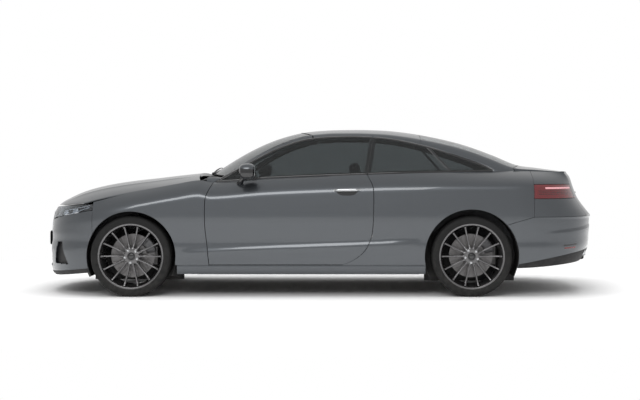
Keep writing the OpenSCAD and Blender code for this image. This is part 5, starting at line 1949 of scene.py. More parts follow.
        back = pillow(
            (0.008, 0.512, 0.122), 12, 64
        ).turned(1, lean).moved((middle[0] - 0.002, 0, 0.777)).painted(1)
        shop.piece(
            "rear_number_plate", join([plate, back]), "boot_panel", ("plate_blank", "black_grained_plastic"),
            "black_trim"
        )
        bar = tube(
            np.array([[brow - 0.004 - 0.03 * y * y, y, 0.868] for y in np.linspace(-0.30, 0.30, 40)]),
            oval(0.016, 0.014, 16, 3)
        )
        shop.piece("plate_lamp_bar", outward(bar), "boot_panel", ("bright_trim",), "black_trim")

    def _pane_point(self, x: float, z: float, out: float) -> Array:
        """A point on the left side glass, moved outwards, in metres."""
        y = float(self.body.skin.side_glass_y(np.array(x), np.array(z)))
        return np.array([x, -(y + out), z]) * MM

    def _window_seals(self) -> None:
        """Makes the seals round the side glass, the dark pillar behind it and the bars across it."""
        body, shop = self.body, self.shop
        skin = body.skin

        def top_of(x: float) -> float:
            """Height of the side glass's top edge."""
            return float(curve(x, skin.glass_top))

        def low_of(x: float) -> float:
            """Height of the side glass's lower edge."""
            return float(curve(x, skin.top_z)) + 4

        def belt(first: float, last: float) -> Array:
            """Points along the lower edge."""
            return np.array([self._pane_point(x, low_of(x) + 3, 2.5) for x in np.linspace(first, last, 90)])

        def roof(first: float, last: float) -> Array:
            """Points along the top edge."""
            return np.array([self._pane_point(x, top_of(x) - 4, 0.5) for x in np.linspace(first, last, 90)])

        def straight(ends: Sequence[Array], section: Array) -> Solid:
            """A straight strip between two points on the glass."""
            return tube(
                np.array([mix(ends[0], ends[1], t) for t in np.linspace(0, 1, 12)]), section, up=(1, 0, 0)
            )

        section = oval(0.008, 0.016, 20, 3)
        door = [tube(belt(-868, 404), section), tube(roof(-840, 458), oval(0.007, 0.018, 20, 3))]
        rear = [tube(belt(426, 1494), section), tube(roof(478, 1494), oval(0.007, 0.020, 20, 3))]
        for x0, x1, width in ((402, 456, 0.030), (428, 482, 0.034)):
            ends = [self._pane_point(x0, low_of(x0), -7), self._pane_point(x1, top_of(x1) - 6, -7)]
            post = straight(ends, oval(0.006, width, 16, 4))
            (door if x0 < 410 else rear).append(post)
        ends = [self._pane_point(1134, low_of(1134), 0.8), self._pane_point(940, top_of(940) - 4, 0.8)]
        rear.append(straight(ends, oval(0.005, 0.022, 16, 4)))
        ends = [self._pane_point(-862, low_of(-862) + 2, 0.5), self._pane_point(-700, top_of(-700) - 6, 0.5)]
        door.append(straight(ends, oval(0.006, 0.014, 16, 4)))
        doors = join([outward(part) for part in door])
        shop.piece("left_door_seals", doors, "door_left", ("gloss_black_trim",), "black_trim")
        shop.piece("right_door_seals", doors.mirrored(), "door_right", ("gloss_black_trim",), "black_trim")
        shop.piece(
            "quarter_window_seals", both(join([outward(part) for part in rear])), "car_body",
            ("gloss_black_trim",), "black_trim"
        )

        def on_screen(edge: Edge, step: float, half: float, lift: float) -> Array:
            """A row of points on the windscreen's surface, a step along from one of its edges."""
            y = np.linspace(-half, half, 80)
            x = np.array([float(edge(np.array(place))) for place in y]) + step
            z = np.array([float(skin.house_z(np.array(a), np.array(b))) for a, b in zip(x, y)]) + lift
            return point(x, y, z) * MM

        base = on_screen(body.screen_base_x, 14, 660, 1.0)
        head = on_screen(body.header_x, -7, 545, 0.4)
        parts = [tube(base, oval(0.030, 0.004, 16, 3)), tube(head, oval(0.014, 0.003, 16, 3))]
        shop.piece(
            "screen_seals", join([outward(part) for part in parts]), "car_body", ("black_grained_plastic",),
            "black_trim"
        )

    def _mirror(self, side: Side) -> None:
        """Makes one door mirror: dark housing, painted cap, glass, turn-lamp strip and foot."""
        shop = self.shop
        name = side.name.lower()
        shell = pillow((0.132, 0.200, 0.132), 3.0, 72)
        p = shell.points
        p[:, 0] += 0.12 * np.maximum(0, p[:, 0]) - 0.25 * p[:, 1] ** 2 / 0.1 * 0.1
        p[:, 2] *= 1 - 0.9 * np.maximum(0, -p[:, 0])
        shell = shell.moved((-0.592, -0.915, 1.056))
        cap = pillow((0.134, 0.203, 0.135), 3.0, 72)
        q = cap.points
        q[:, 0] += 0.12 * np.maximum(0, q[:, 0]) - 0.25 * q[:, 1] ** 2 / 0.1 * 0.1
        q[:, 2] = np.maximum(q[:, 2] * (1 - 0.9 * np.maximum(0, -q[:, 0])), 0.022 - 0.10 * q[:, 0])
        cap = cap.moved((-0.592, -0.915, 1.056)).painted(1)
        path = np.array(
            [
                [-0.668, -0.812, 0.940], [-0.662, -0.835, 0.955], [-0.645, -0.862, 0.978],
                [-0.622, -0.884, 1.005], [-0.606, -0.895, 1.030]
            ]
        )
        foot = outward(tube(path, oval(0.040, 0.030, 32, 3), np.array([1.5, 1.25, 1.0, 0.95, 1.1])))
        glass = pillow((0.004, 0.165, 0.104), 3.4, 48).moved((-0.5235, -0.915, 1.056)).painted(2)
        t = np.linspace(0, 1, 30)
        strip = tube(
            point(-0.652 + 0.020 * t * t, -0.845 - 0.155 * t, 1.066 + 0 * t), oval(0.007, 0.006, 16)
        ).painted(3)
        whole = join([shell, cap, foot, glass, outward(strip)])
        if side is Side.RIGHT:
            whole = whole.mirrored()
        finishes = ("gloss_black_trim", "grey_metallic_paint", "mirror_face", "lamp_line")
        shop.piece(f"{name}_mirror_unit", whole, f"door_{name}", finishes, "black_trim", (f"{name}_mirror",))

    def _handle(self, side: Side) -> None:
        """Makes one door handle: a bright pull over a gloss black sheet, painted shade of its recess."""
        name = side.name.lower()
        # Painted shade: the recess behind the pull is a gloss black sheet just proud of the skin, with no
        # hollow in the panel.
        recess_shade = self._patch(
            lambda u: 893 - 40 * (1 - np.abs(2 * u - 1) ** 3) ** 0.6,
            lambda u: 893 + 6 * (1 - np.abs(2 * u - 1) ** 4) ** 0.6, 158, 336, 0.9, 3, 60, 10
        )
        t = np.linspace(0, 1, 40)
        lift = 26 * (smooth(t / 0.16) * smooth((1 - t) / 0.16)) + 1
        path = np.array([self._skin_at(x, z, -out) for x, z, out in zip(mix(134, 360, t), 899 + 3 * t, lift)])
        pull = tube(path, oval(0.013, 0.022, 28, 2.6), 0.82 + 0.18 * np.sin(np.pi * t)).painted(1)
        whole = join([outward(recess_shade), outward(pull)])
        if side is Side.RIGHT:
            whole = whole.mirrored()
        self.shop.piece(
            f"{name}_door_handle", whole, f"door_{name}", ("gloss_black_trim", "bright_trim"), "black_trim"
        )

    def _wipers(self) -> None:
        """Makes the tray below the windscreen and two wipers lying on the glass."""
        body, shop = self.body, self.shop
        shop.piece(
            "screen_tray", outward(body.tray()), "car_body", ("black_grained_plastic",), "black_trim",
            ("wiper_tray",)
        )
        parts = []
        for pivot, tip in ((-300, 330), (330, 690)):
            t = np.linspace(0, 1, 40)
            y = mix(pivot, tip, t) * 0.92
            x = np.array(
                [float(body.screen_base_x(np.array(v))) for v in y]
            ) + mix(4, 62, np.sin(np.pi * t * 0.8))
            z = body.skin.house_z(x, y) + 9
            arm = tube(
                point(x, y, z + 12 * np.sin(np.pi * t)) * MM, oval(0.014, 0.008, 16, 3), mix(1.2, 0.6, t)
            )
            blade = tube(point(x + 10, y, z - 3) * MM, oval(0.007, 0.010, 12, 3))
            hub = ring(
                np.array([(0.0001, 0.014), (0.012, 0.012), (0.015, 0.004), (0.015, -0.01), (0.0001, -0.01)]),
                32
            )
            parts += [
                outward(arm), outward(blade),
                outward(hub).moved((float(x[0]) * MM, float(y[0]) * MM, float(z[0]) * MM))
            ]
        shop.piece("wiper_arms", join(parts), "car_body", ("black_grained_plastic",), "black_trim")


# ---- Cabin ----


@dataclass
class Pad:
    """A stuffed pad: a rounded block with a crown, channels sewn across it and a piped edge."""

    size: Sequence[float]
    channels: int = 0
    power: float = 3.6
    crown: float = 0.010
    count: int = 96

    def solid(self) -> Solid:
        """The pad about its middle, with finish 0 for leather and 1 for the piping.

        The upper face rises by crown times the product of two parabolas, and falls by 6 mm along
        each seam as a bell curve 5 mm wide.
        """
        block = pillow(self.size, self.power, self.count)
        p = block.points
        half = np.asarray(self.size) / 2
        top = smooth(p[:, 2] / half[2] * 1.6)
        p[:, 2] += self.crown * top * (1 - (p[:, 0] / half[0]) ** 2) * (1 - (p[:, 1] / half[1]) ** 2)
        if self.channels:
            phase = (p[:, 0] / half[0] * 0.5 + 0.5) * self.channels
            away = np.abs(phase - np.round(phase)) * self.size[0] / self.channels
            inside = smooth((0.86 - np.abs(p[:, 1]) / half[1]) * 8) * (np.abs(p[:, 0]) < 0.93 * half[0])
            p[:, 2] -= 0.006 * np.exp(-((away / 0.005) ** 2)) * top * inside
        edge = oval(self.size[0] * 0.998, self.size[1] * 0.998, 120, self.power)
        path = np.concatenate([edge, edge[:2]])
        path = point(path[:, 0], path[:, 1], 0 * path[:, 0] + half[2] * 0.25)
        return join([outward(block), outward(tube(path, oval(0.005, 0.005, 8))).painted(1)])


@dataclass
class Cabin:
    """Seats, dashboard, console, steering wheel, pedals, carpets and the linings on the doors."""

    shop: Workshop
    seat_y: float = 0.400
    wheel_place: Sequence[float] = (-0.480, -0.370, 0.800)
    wheel_tilt_deg: float = -112.0

    def build(self) -> None:
        """Makes the cabin, group by group."""
        for side in Side:
            self._front_seat(side)
        self._rear_bench()
        self._dashboard()
        self._console()
        self._steering_wheel()
        self._carpets()
        for side in Side:
            self._door_lining(side)

    def _front_seat(self, side: Side) -> None:
        """Makes one front seat: stuffed cushion, back and head rest on a moulded frame."""
        name, y = side.name.lower(), side.value * self.seat_y
        lean = math.radians(106)
        parts = [Pad((0.47, 0.33, 0.12), 5).solid().turned(1, -0.07).moved((-0.105, y, 0.415))]
        parts += [
            Pad((0.49, 0.105, 0.155), 0, 3.0).solid().turned(1, -0.07).moved((-0.100, y + s * 0.205, 0.410))
            for s in (-1, 1)
        ]
        parts += [Pad((0.50, 0.300, 0.105), 6).solid().turned(1, -lean).moved((0.215, y, 0.690))]
        parts += [
            Pad((0.52, 0.105, 0.135), 0, 3.0).solid().turned(1, -lean).moved((0.195, y + s * 0.195, 0.660))
            for s in (-1, 1)
        ]
        parts += [Pad((0.16, 0.36, 0.085), 2, 3.4).solid().turned(1, -lean).moved((0.292, y, 0.925))]
        parts += [Pad((0.145, 0.255, 0.085), 0, 3.0).solid().turned(1, -lean).moved((0.315, y, 1.055))]
        replaced = ("seats",) if side is Side.LEFT else ()
        self.shop.piece(
            f"{name}_seat_pads", join(parts), "car_body", ("seat_leather", "seat_stitch"), "seat_leather",
            replaced, padded=True
        )
        shell = pillow((0.60, 0.44, 0.050), 4.0, 64).turned(1, -lean).moved((0.262, y, 0.690))
        base = pillow((0.44, 0.42, 0.075), 5.0, 64).moved((-0.105, y, 0.335))
        rails = [
            bar((-0.300, y + s * 0.200 - 0.018, 0.236), (0.120, y + s * 0.200 + 0.018, 0.262))
            for s in (-1, 1)
        ]
        feet = [
            bar((x, y + s * 0.200 - 0.015, 0.256), (x + 0.05, y + s * 0.200 + 0.015, 0.312)) for s in (-1, 1)
            for x in (-0.27, 0.05)
        ]
        posts = [
            tube(
                np.array([[0.296, y + s * 0.055, 0.93], [0.312, y + s * 0.055, 1.04]]), oval(0.012, 0.012, 16)
            ).painted(1)
            for s in (-1, 1)
        ]
        solids = join([outward(s) for s in (shell, base, *rails, *feet)] + [outward(s) for s in posts])
        self.shop.piece(
            f"{name}_seat_frame", solids, "car_body", ("black_grained_plastic", "bright_trim"), "black_trim"
        )

    def _rear_bench(self) -> None:
        """Makes the rear bench: two stuffed places with a padded bridge between them."""
        lean = math.radians(116)
        parts = []
        for s in (-1, 1):
            parts.append(
                Pad((0.46, 0.46, 0.125), 5).solid().turned(1, -0.05).moved((0.810, s * 0.280, 0.440))
            )
            parts.append(
                Pad((0.47, 0.44, 0.105), 5).solid().turned(1, -lean).moved((1.160, s * 0.280, 0.690))
            )
            parts.append(
                Pad((0.12, 0.30, 0.085), 0, 3.2).solid().turned(1, -lean).moved((1.268, s * 0.280, 0.925))
            )
        parts.append(Pad((0.44, 0.12, 0.10), 0, 3.4).solid().moved((0.815, 0.0, 0.440)))
        parts.append(Pad((0.46, 0.13, 0.10), 3, 3.4).solid().turned(1, -lean).moved((1.158, 0.0, 0.685)))
        self.shop.piece(
            "rear_bench_pads", join(parts), "car_body", ("seat_leather", "seat_stitch"), "seat_leather",
            padded=True
        )
        base = pillow((0.50, 1.08, 0.05), 8.0, 64).moved((0.820, 0, 0.396))
        shelf = pillow((0.30, 1.16, 0.022), 9.0, 64).moved((1.452, 0, 0.912)).painted(1)
        self.shop.piece(
            "bench_base_and_shelf", join([base, shelf]), "car_body", ("black_grained_plastic", "carpet"),
            "black_trim"
        )

    def _dashboard(self) -> None:
        """Makes the dashboard moulding, its instrument hood, wide screen, trim strip and round vents."""
        shop = self.shop
        section = (
            (0, 1.020, 0.600), (1, 0.860, 0.575), (2, 0.740, 0.615), (3, 0.655, 0.690), (4, 0.625, 0.770),
            (5, 0.640, 0.830),
                   (6, 0.690, 0.868), (7, 0.780, 0.895), (8, 0.880, 0.912), (9, 0.980, 0.905), (
                       10, 1.025, 0.860
                   ), (11, 1.028, 0.740),
                   (12, 1.020, 0.600))
        t = np.linspace(0, 12, 97)[:-1]
        outline = np.stack(
            [curve(t, [(a, b) for a, b, _ in section]), curve(t, [(a, c) for a, _, c in section])], -1
        )
        y = np.concatenate([[-0.662, -0.660], np.linspace(-0.652, 0.652, 60), [0.660, 0.662]])
        scale = np.concatenate([[0.96, 0.985], np.ones(60), [0.985, 0.96]])
        path = point(0 * y, y, 0 * y)
        middle = outline.mean(axis=0)
        body = tube(path + [-middle[0], 0, middle[1]], outline - middle, scale)
        hood = pillow((0.20, 0.36, 0.075), 3.2, 64).moved((-0.735, -0.370, 0.905))
        shop.piece(
            "dashboard_moulding", join([outward(body), hood]), "car_body", ("dash_moulding",), "dash_plastic",
            ("dashboard",)
        )
        screen = pillow(
            (0.012, 0.610, 0.105), 8, 64
        ).turned(1, math.radians(-12)).moved((-0.660, -0.180, 0.905))
        shop.piece("wide_screen", screen, "car_body", ("screen_dark",), "black_trim")
        strip = tube(point(-0.6235 + 0 * y, y * 0.97, 0.765 + 0 * y), oval(0.012, 0.034, 24, 3))
        vents = []
        for place in (-0.600, -0.060, 0.060, 0.600):
            outer = ring(
                np.array([(0.034, 0.0), (0.039, 0.004), (0.042, -0.002), (0.042, -0.020), (0.034, -0.020)]),
                48
            )
            turbine = ring(
                np.array(
                    [
                        (0.0001, 0.002), (0.010, 0.000), (0.012, -0.006), (0.034, -0.006), (0.034, -0.012),
                        (0.0001, -0.012)
                    ]
                ),
                48
            ).painted(1)
            for part in (outer, turbine):
                vents.append(outward(part).turned(1, math.pi / 2).moved((-0.622, place, 0.818)))
        shop.piece(
            "dashboard_trim", join([outward(strip), *vents]), "car_body", ("bright_trim", "gloss_black_trim"),
            "black_trim"
        )

    def _console(self) -> None:
        """Makes the centre console with its selector, arm rest and the pedals."""
        shop = self.shop
        body = pillow((0.74, 0.215, 0.150), 6.0, 72).moved((-0.290, 0, 0.405))
        ramp = pillow((0.22, 0.215, 0.300), 5.0, 64).turned(1, math.radians(24)).moved((-0.640, 0, 0.560))
        lever = [pillow((0.030, 0.030, 0.070), 2.6, 32).moved((-0.42, 0.0, 0.515)).painted(1)]
        cups = [
            outward(
                ring(np.array([(0.036, 0.0), (0.041, 0.003), (0.044, -0.004), (0.036, -0.004)]), 40)
            ).moved((x, 0, 0.483)).painted(1)
            for x in (-0.30, -0.20)
        ]
        shop.piece(
            "centre_console", join([body, ramp, *lever, *cups]), "car_body",
            ("gloss_black_trim", "bright_trim"), "black_trim"
        )
        rest = Pad((0.30, 0.185, 0.065), 0, 4.0).solid().moved((0.020, 0, 0.498))
        shop.piece(
            "arm_rest_pad", rest, "car_body", ("seat_leather", "seat_stitch"), "seat_leather", padded=True
        )
        pedals = [
            pillow((0.014, 0.055, 0.100), 6, 32).turned(1, math.radians(-30)).moved((-0.800, -0.300, 0.330))
        ]
        pedals += [
            pillow((0.014, 0.090, 0.060), 6, 32).turned(1, math.radians(-30)).moved((-0.790, -0.420, 0.370))
        ]
        pedals += [
            tube(
                np.array([[-0.805, y, 0.34], [-0.86, y, 0.46], [-0.88, y, 0.575]]), oval(0.012, 0.018, 12, 3)
            )
            for y in (-0.300, -0.420)
        ]
        shop.piece(
            "pedals", join([outward(s) for s in pedals]), "car_body", ("black_grained_plastic",), "black_trim"
        )

    def _steering_wheel(self) -> None:
        """Makes the steering wheel about the column's axis: grip, three spokes, centre pad and column."""
        grip = [
            (0.175 + 0.0155 * math.cos(a), 0.0155 * math.sin(a)) for a in np.linspace(0, 2 * math.pi, 25)[:-1]
        ]
        rim = outward(ring(np.array(grip), 120))
        p = rim.points
        a = np.arctan2(p[:, 1], p[:, 0])
        thumb = 1 + 0.10 * np.exp(-(((np.abs(np.abs(a) - 1.25)) / 0.16) ** 2))
        r = np.hypot(p[:, 0], p[:, 1])
        scale = (0.175 + (r - 0.175) * thumb) / r
        rim = Solid(np.stack([p[:, 0] * scale, p[:, 1] * scale, p[:, 2] * thumb], -1), rim.faces)
        parts = [rim, pillow((0.105, 0.125, 0.052), 3.2, 64).moved((0, 0, -0.002))]
        for deg, wide in ((90, 1.0), (-90, 1.0), (172, 0.6), (188, 0.6)):
            c, s = math.cos(math.radians(deg)), math.sin(math.radians(deg))
            path = np.array(
                [[r * c, r * s, -0.002 + 0.010 * (0.17 - r)] for r in np.linspace(0.035, 0.168, 16)]
            )
            parts.append(
                outward(
                    tube(path, oval(0.034 * wide, 0.012, 24, 3), mix(1.15, 0.85, np.linspace(0, 1, 16)))
                ).painted(1)
            )
        ring_piece = outward(
            ring(
                np.array(
                    [(0.022, -0.0275), (0.026, -0.0290), (0.030, -0.0275), (0.030, -0.022), (0.022, -0.022)]
                ),
                48
            )
        ).painted(2)
        column = outward(
            ring(np.array([(0.0001, 0.0), (0.030, 0.0), (0.024, 0.05), (0.020, 0.149), (0.0001, 0.149)]), 48)
        ).painted(3)
        whole = join([*parts, ring_piece, column]).turned(
            1, math.radians(self.wheel_tilt_deg)
        ).moved(self.wheel_place)
        finishes = ("seat_leather", "gloss_black_trim", "bright_trim", "black_grained_plastic")
        self.shop.piece(
            "steering_wheel_unit", whole, "steering", finishes, "wheel_leather", ("steering_wheel",)
        )

    def _carpets(self) -> None:
        """Makes the carpets over the floor and the tunnel."""
        parts = []
        for s in (-1, 1):
            parts.append(pillow((1.50, 0.535, 0.012), 9, 72).moved((-0.205, s * 0.425, 0.212)))
            parts.append(pillow((0.44, 0.40, 0.010), 7, 48).moved((-0.62, s * 0.42, 0.222)))
            parts.append(pillow((1.50, 0.010, 0.150), 9, 48).moved((-0.205, s * 0.156, 0.272)))
        parts.append(pillow((0.52, 0.320, 0.012), 9, 48).moved((0.320, 0, 0.357)))
        boot = pillow((0.42, 1.12, 0.010), 9, 64).moved((1.955, 0, 0.303))
        self.shop.piece("cabin_carpets", join([*parts, boot]), "car_body", ("carpet",), "dash_plastic")

    def _door_lining(self, side: Side) -> None:
        """Makes the arm rest, pull, a black strip and the speaker ring on one door's lining."""
        name, s = side.name.lower(), side.value
        rest = Pad((0.46, 0.060, 0.055), 0, 4.0).solid().moved((-0.16, 0.800, 0.640))
        pull = tube(
            np.array(
                [
                    [x, 0.795 - 0.026 * math.sin(math.pi * t), 0.775 + 0.015 * t]
                    for t, x in zip(np.linspace(0, 1, 24), np.linspace(-0.40, -0.20, 24))
                ]
            ),
            oval(0.016, 0.020, 20, 3)
        ).painted(2)
        speaker = outward(
            ring(
                np.array(
                    [
                        (0.070, 0.0), (0.076, 0.004), (0.082, -0.002), (0.082, -0.012), (0.0001, -0.012),
                        (0.0001, -0.004), (0.070, -0.004)
                    ]
                ),
                64
            )
        )
        speaker = speaker.turned(0, math.pi / 2).moved((-0.52, 0.808, 0.430)).painted(2)
        strip = tube(
            np.array(
                [
                    [x, 0.803, 0.865 + 0.03 * t]
                    for t, x in zip(np.linspace(0, 1, 24), np.linspace(-0.60, 0.30, 24))
                ]
            ),
            oval(0.006, 0.026, 20, 3)
        ).painted(3)
        whole = join([rest, outward(pull), speaker, outward(strip)])
        if side is Side.LEFT:
            whole = whole.mirrored()
        finishes = ("seat_leather", "seat_stitch", "bright_trim", "gloss_black_trim")
        log.info("door lining on side %d", s)
        self.shop.piece(f"{name}_door_fittings", whole, f"door_{name}", finishes, "black_trim")


# ---- Under the skin ----


@dataclass
class Underside:
    """Wheel housings, hinge arms, the engine's cover and the finishes of the kept frame parts."""

    shop: Workshop
    axle_z: float = 0.340
    bonnet_pin: Sequence[float] = (-0.960, 0.945)
    boot_pin: Sequence[float] = (1.5591, 1.000)

    def build(self) -> None:
        """Makes the pieces and dresses the nodes that stay."""
        self._housings()
        self._bonnet_arms()
        self._boot_arms()
        self._engine()
        self._springs()
        for node, finish in (
            ("floor_pan", "underbody_seal"), ("front_frame", "inner_sheet"), ("rear_frame", "inner_sheet"),
            ("exhaust", "exhaust_steel"), ("subframes", "cast_iron"), ("left_knuckle", "cast_iron"),
            ("right_knuckle", "cast_iron"), ("rear_knuckles", "cast_iron"),
        ):
            self.shop.dress(node, finish)

    def _housings(self) -> None:
        """Makes the wheel housings: half shells that widen fore and aft away from the arch's edge.

        Each has a ribbed inner wall. At angle a from the level and share v inwards, the radius is
        r + f * smooth(3v) * |cos a|, with fine ripples.
        """
        parts = []
        for x, r, flare, edge, inner, wall_y in (
            (-1.575, 0.3765, 0.046, 0.872, 0.520, 0.474), (1.298, 0.3935, 0.0, 0.875, 0.604, 0.600)
        ):

            def at(u: Array, v: Array, thick: float) -> Array:
                """Points of the half shell, in millimetres."""
                a = mix(math.radians(-26), math.radians(206), u)
                ripple = 0.0012 * np.cos(40 * a) * smooth(4 * v)
                radius = r + flare * smooth(3 * v) * np.abs(np.cos(a)) + thick + ripple
                return point(
                    x + radius * np.cos(a), -mix(edge, inner, v), self.axle_z + radius * np.sin(a)
                ) / MM

            def wall(u: Array, v: Array, thick: float) -> Array:
                """Points of the ribbed inner wall beside the frame rail, in millimetres."""
                along = x + mix(-0.39, 0.39, u)
                high = mix(0.11, 0.66 - 0.22 * (2 * u - 1) ** 2, v)
                return point(along, -(wall_y + thick + 0.0015 * np.cos(90 * along)), high) / MM

            parts.append(outward(slab(120, 14, lambda u, v: at(u, v, 0.0), lambda u, v: at(u, v, 0.003))))
            parts.append(outward(slab(90, 12, lambda u, v: wall(u, v, 0.0), lambda u, v: wall(u, v, 0.003))))
        self.shop.piece(
            "wheel_housings", both(join(parts)), "car_body", ("black_grained_plastic",), "underbody"
        )

    def _arm(self, outline: Sequence[Sequence[float]], pin: Sequence[float], y: float) -> Solid:
        """A flat hinge arm, drawn as a path of [along, up, width] from its pin, both sides of the car."""
        table = np.array(outline)
        t = np.linspace(0, len(table) - 1, 8 * len(table))
        index = np.arange(len(table))
        x, z, wide = (np.interp(t, index, table[:, k]) for k in range(3))
        path = point(pin[0] + x, -y + 0 * x, pin[1] + z)
        arm = outward(tube(path, oval(0.0095, 0.020, 24, 5), wide, up=(0.2, 0, 1)))
        eye = outward(
            ring(np.array([(0.0065, -0.007), (0.015, -0.007), (0.015, 0.007), (0.0065, 0.007)]), 40)
        )
        return both(join([arm, eye.turned(0, math.pi / 2).moved((pin[0], -y, pin[1]))]))

    def _bonnet_arms(self) -> None:
        """Makes the arms from the bonnet to its hinge pins."""
        path = (
            (-0.012, 0.000, 0.9), (-0.050, 0.004, 1.0), (-0.090, 0.020, 1.1), (-0.130, 0.026, 1.0),
            (-0.168, 0.020, 0.9)
        )
        self.shop.piece(
            "bonnet_hinge_arms", self._arm(path, self.bonnet_pin, 0.660), "bonnet_panel", ("inner_sheet",),
            "knuckle_iron"
        )

    def _boot_arms(self) -> None:
        """Makes the swan-neck arms of the boot lid: down and back from the pin, then an arc up to the lid."""
        straight = [
            (r * math.cos(math.radians(-50)), r * math.sin(math.radians(-50)), 0.9)
            for r in (0.012, 0.07, 0.13, 0.180)
        ]
        arc = [
            (0.187 * math.cos(math.radians(d)), 0.187 * math.sin(math.radians(d)), 0.85)
            for d in np.linspace(-48, 24, 14)
        ]
        self.shop.piece(
            "boot_hinge_arms", self._arm(straight + arc, self.boot_pin, 0.540), "boot_panel",
            ("inner_sheet",), "knuckle_iron"
        )

    def _engine(self) -> None:
        """Makes the engine's outside: ribbed block, sump, head covers, top cover, intake and belt wheels."""
        block = pillow((0.62, 0.46, 0.30), 7, 72).moved((-1.530, 0, 0.500))
        p = block.points
        p[:, 1] += 0.006 * np.sign(p[:, 1]) * (np.cos(p[:, 0] * 90) > 0)
        sump = pillow((0.46, 0.32, 0.12), 6, 48).moved((-1.520, 0, 0.392)).painted(1)
        heads = [
            pillow((0.58, 0.17, 0.12), 5, 48).turned(0, -0.35 * s).moved((-1.540, s * 0.165, 0.690))
            for s in (-1, 1)
        ]
        gearbox = pillow((0.22, 0.30, 0.28), 3, 48).moved((-1.270, 0, 0.480))
        cover = pillow((0.60, 0.42, 0.055), 4, 72).moved((-1.540, 0, 0.768))
        q = cover.points
        q[:, 2] += 0.006 * np.exp(-((np.abs(q[:, 1]) - 0.10) / 0.012) ** 2) * (q[:, 2] > 0.768)
        intake = tube(
            np.array([[-1.84, 0.10, 0.70], [-1.80, 0.16, 0.755], [-1.70, 0.21, 0.765], [-1.60, 0.22, 0.750]]),
            oval(0.07, 0.07, 32)
        ).painted(2)
        wheels = []
        for y, z, r in ((0.0, 0.42, 0.075), (-0.14, 0.60, 0.045), (0.15, 0.58, 0.050), (0.0, 0.66, 0.040)):
            wheel = outward(
                ring(
                    np.array(
                        [
                            (0.0001, 0.012), (r * 0.4, 0.012), (r * 0.5, 0.004), (r * 0.85, 0.004),
                            (r, 0.014), (r, -0.014), (0.0001, -0.014)
                        ]
                    ),
                    48
                )
            )
            wheels.append(wheel.turned(1, -math.pi / 2).moved((-1.862, y, z)).painted(1))
        parts = [block, sump, *heads, gearbox, cover.painted(2), outward(intake), *wheels]
        self.shop.piece(
            "engine_unit", join(parts), "car_body", ("cast_iron", "caliper_grey", "black_grained_plastic"),
            "engine_metal", ("engine",)
        )

    def _springs(self) -> None:
        """Makes the spring struts behind the front wheels and the rear springs: helices of seven turns."""
        parts = []
        t = np.linspace(0, 1, 220)
        for x, y, low, high in ((-1.575, 0.545, 0.40, 0.70), (1.298, 0.545, 0.37, 0.60)):
            a = 2 * np.pi * 6 * t
            path = point(x + 0.048 * np.cos(a), -y + 0.048 * np.sin(a), mix(low, high, t))
            parts.append(outward(tube(path, oval(0.012, 0.012, 10))))
            damper = ring(
                np.array(
                    [
                        (0.0001, low), (0.020, low), (0.022, low + 0.02), (0.022, high - 0.06),
                        (0.010, high - 0.05), (0.010, high + 0.03), (0.0001, high + 0.03)
                    ]
                ),
                32
            )
            parts.append(outward(damper).moved((x, -y, 0)).painted(1))
        self.shop.piece(
            "springs_and_dampers", both(join(parts)), "car_body", ("caliper_grey", "gloss_black_trim"),
            "knuckle_iron"
        )




# ---- Shell of the car ----


@dataclass
class Shell:
    """The painted panels, the glass and the seams between them."""

    body: Body
    shop: Workshop
    edge: float = 0.0012

    def build(self) -> None:
        """Makes every panel, with its inside, on the body that it moves with."""
        body, shop, edge = self.body, self.shop, self.edge
        paint, sheet, lining = "grey_metallic_paint", "inner_sheet", "door_lining"
        fixed = (
            ("front_wing_panels", both(body.front_wing()), ("front_wings",)),
            ("side_skirt_covers", both(body.skirt()), ("side_skirts",)),
            ("front_bumper_cover", body.front_bumper(), ("front_bumper",)),
            ("rear_bumper_cover", body.rear_bumper(), ("rear_bumper",)),
            ("roof_panel", body.roof(), ("roof",)),
        )
        for name, solid, nodes in fixed:
            inside = "headliner" if name == "roof_panel" else sheet
            shop.piece(name, solid, "car_body", (paint, inside), "body_paint", nodes, edge)
        low = body.tail_corner(
            lambda u: body.tail_seam[1] + body.seam + 0 * u, lambda u: body.lamp_z[0] - 2 + 0 * u, 60
        )
        high = body.tail_corner(lambda u: body.lamp_z[1] + 2 + 0 * u, lambda u: mix(1060, 1042, u), 26, 26)
        rear = join([body.quarter(), low, high, body.rear_pillar()])
        shop.piece(
            "quarter_panel_skins", both(rear), "car_body", (paint, sheet), "body_paint", ("quarter_panels",),
            edge
        )
        shop.piece(
            "screen_pillar_covers", both(body.screen_pillar()), "car_body", (paint, lining), "body_paint",
            ("screen_pillars",), edge
        )
        shop.piece(
            "bonnet_panel", body.bonnet(), "bonnet_panel", (paint, sheet), "body_paint", ("bonnet",), edge
        )
        shop.piece(
            "boot_panel", body.boot_lid(), "boot_panel", (paint, sheet), "body_paint", ("boot_lid",), edge
        )
        door = body.door()
        for side, solid in ((Side.LEFT, door), (Side.RIGHT, door.mirrored())):
            name = side.name.lower()
            shop.piece(
                f"{name}_door_panel", solid, f"door_{name}", (paint, lining), "body_paint", (f"{name}_door",),
                edge
            )
        self._glass()

    def _glass(self) -> None:
        """Makes the screens and the side windows."""
        body, shop = self.body, self.shop
        glass, slot = ("tinted_glass",), "window_glass"
        shop.piece("windscreen_glass", body.windscreen(), "car_body", glass, slot, ("windscreen",))
        shop.piece("rear_window_glass", body.rear_window(), "car_body", glass, slot, ("rear_window",))
        quarter = body.side_pane((417, 472), (1480, 1480), 0.5, 0.5)
        shop.piece("quarter_windows", both(quarter), "car_body", glass, slot, ("quarter_glass",))
        pane = body.side_pane((-850, -850), (409, 464), 0.5, 6)
        shop.piece("left_door_window", pane, "door_left", glass, slot, ("left_door_glass",))
        shop.piece("right_door_window", pane.mirrored(), "door_right", glass, slot, ("right_door_glass",))


# ---- Studio ----


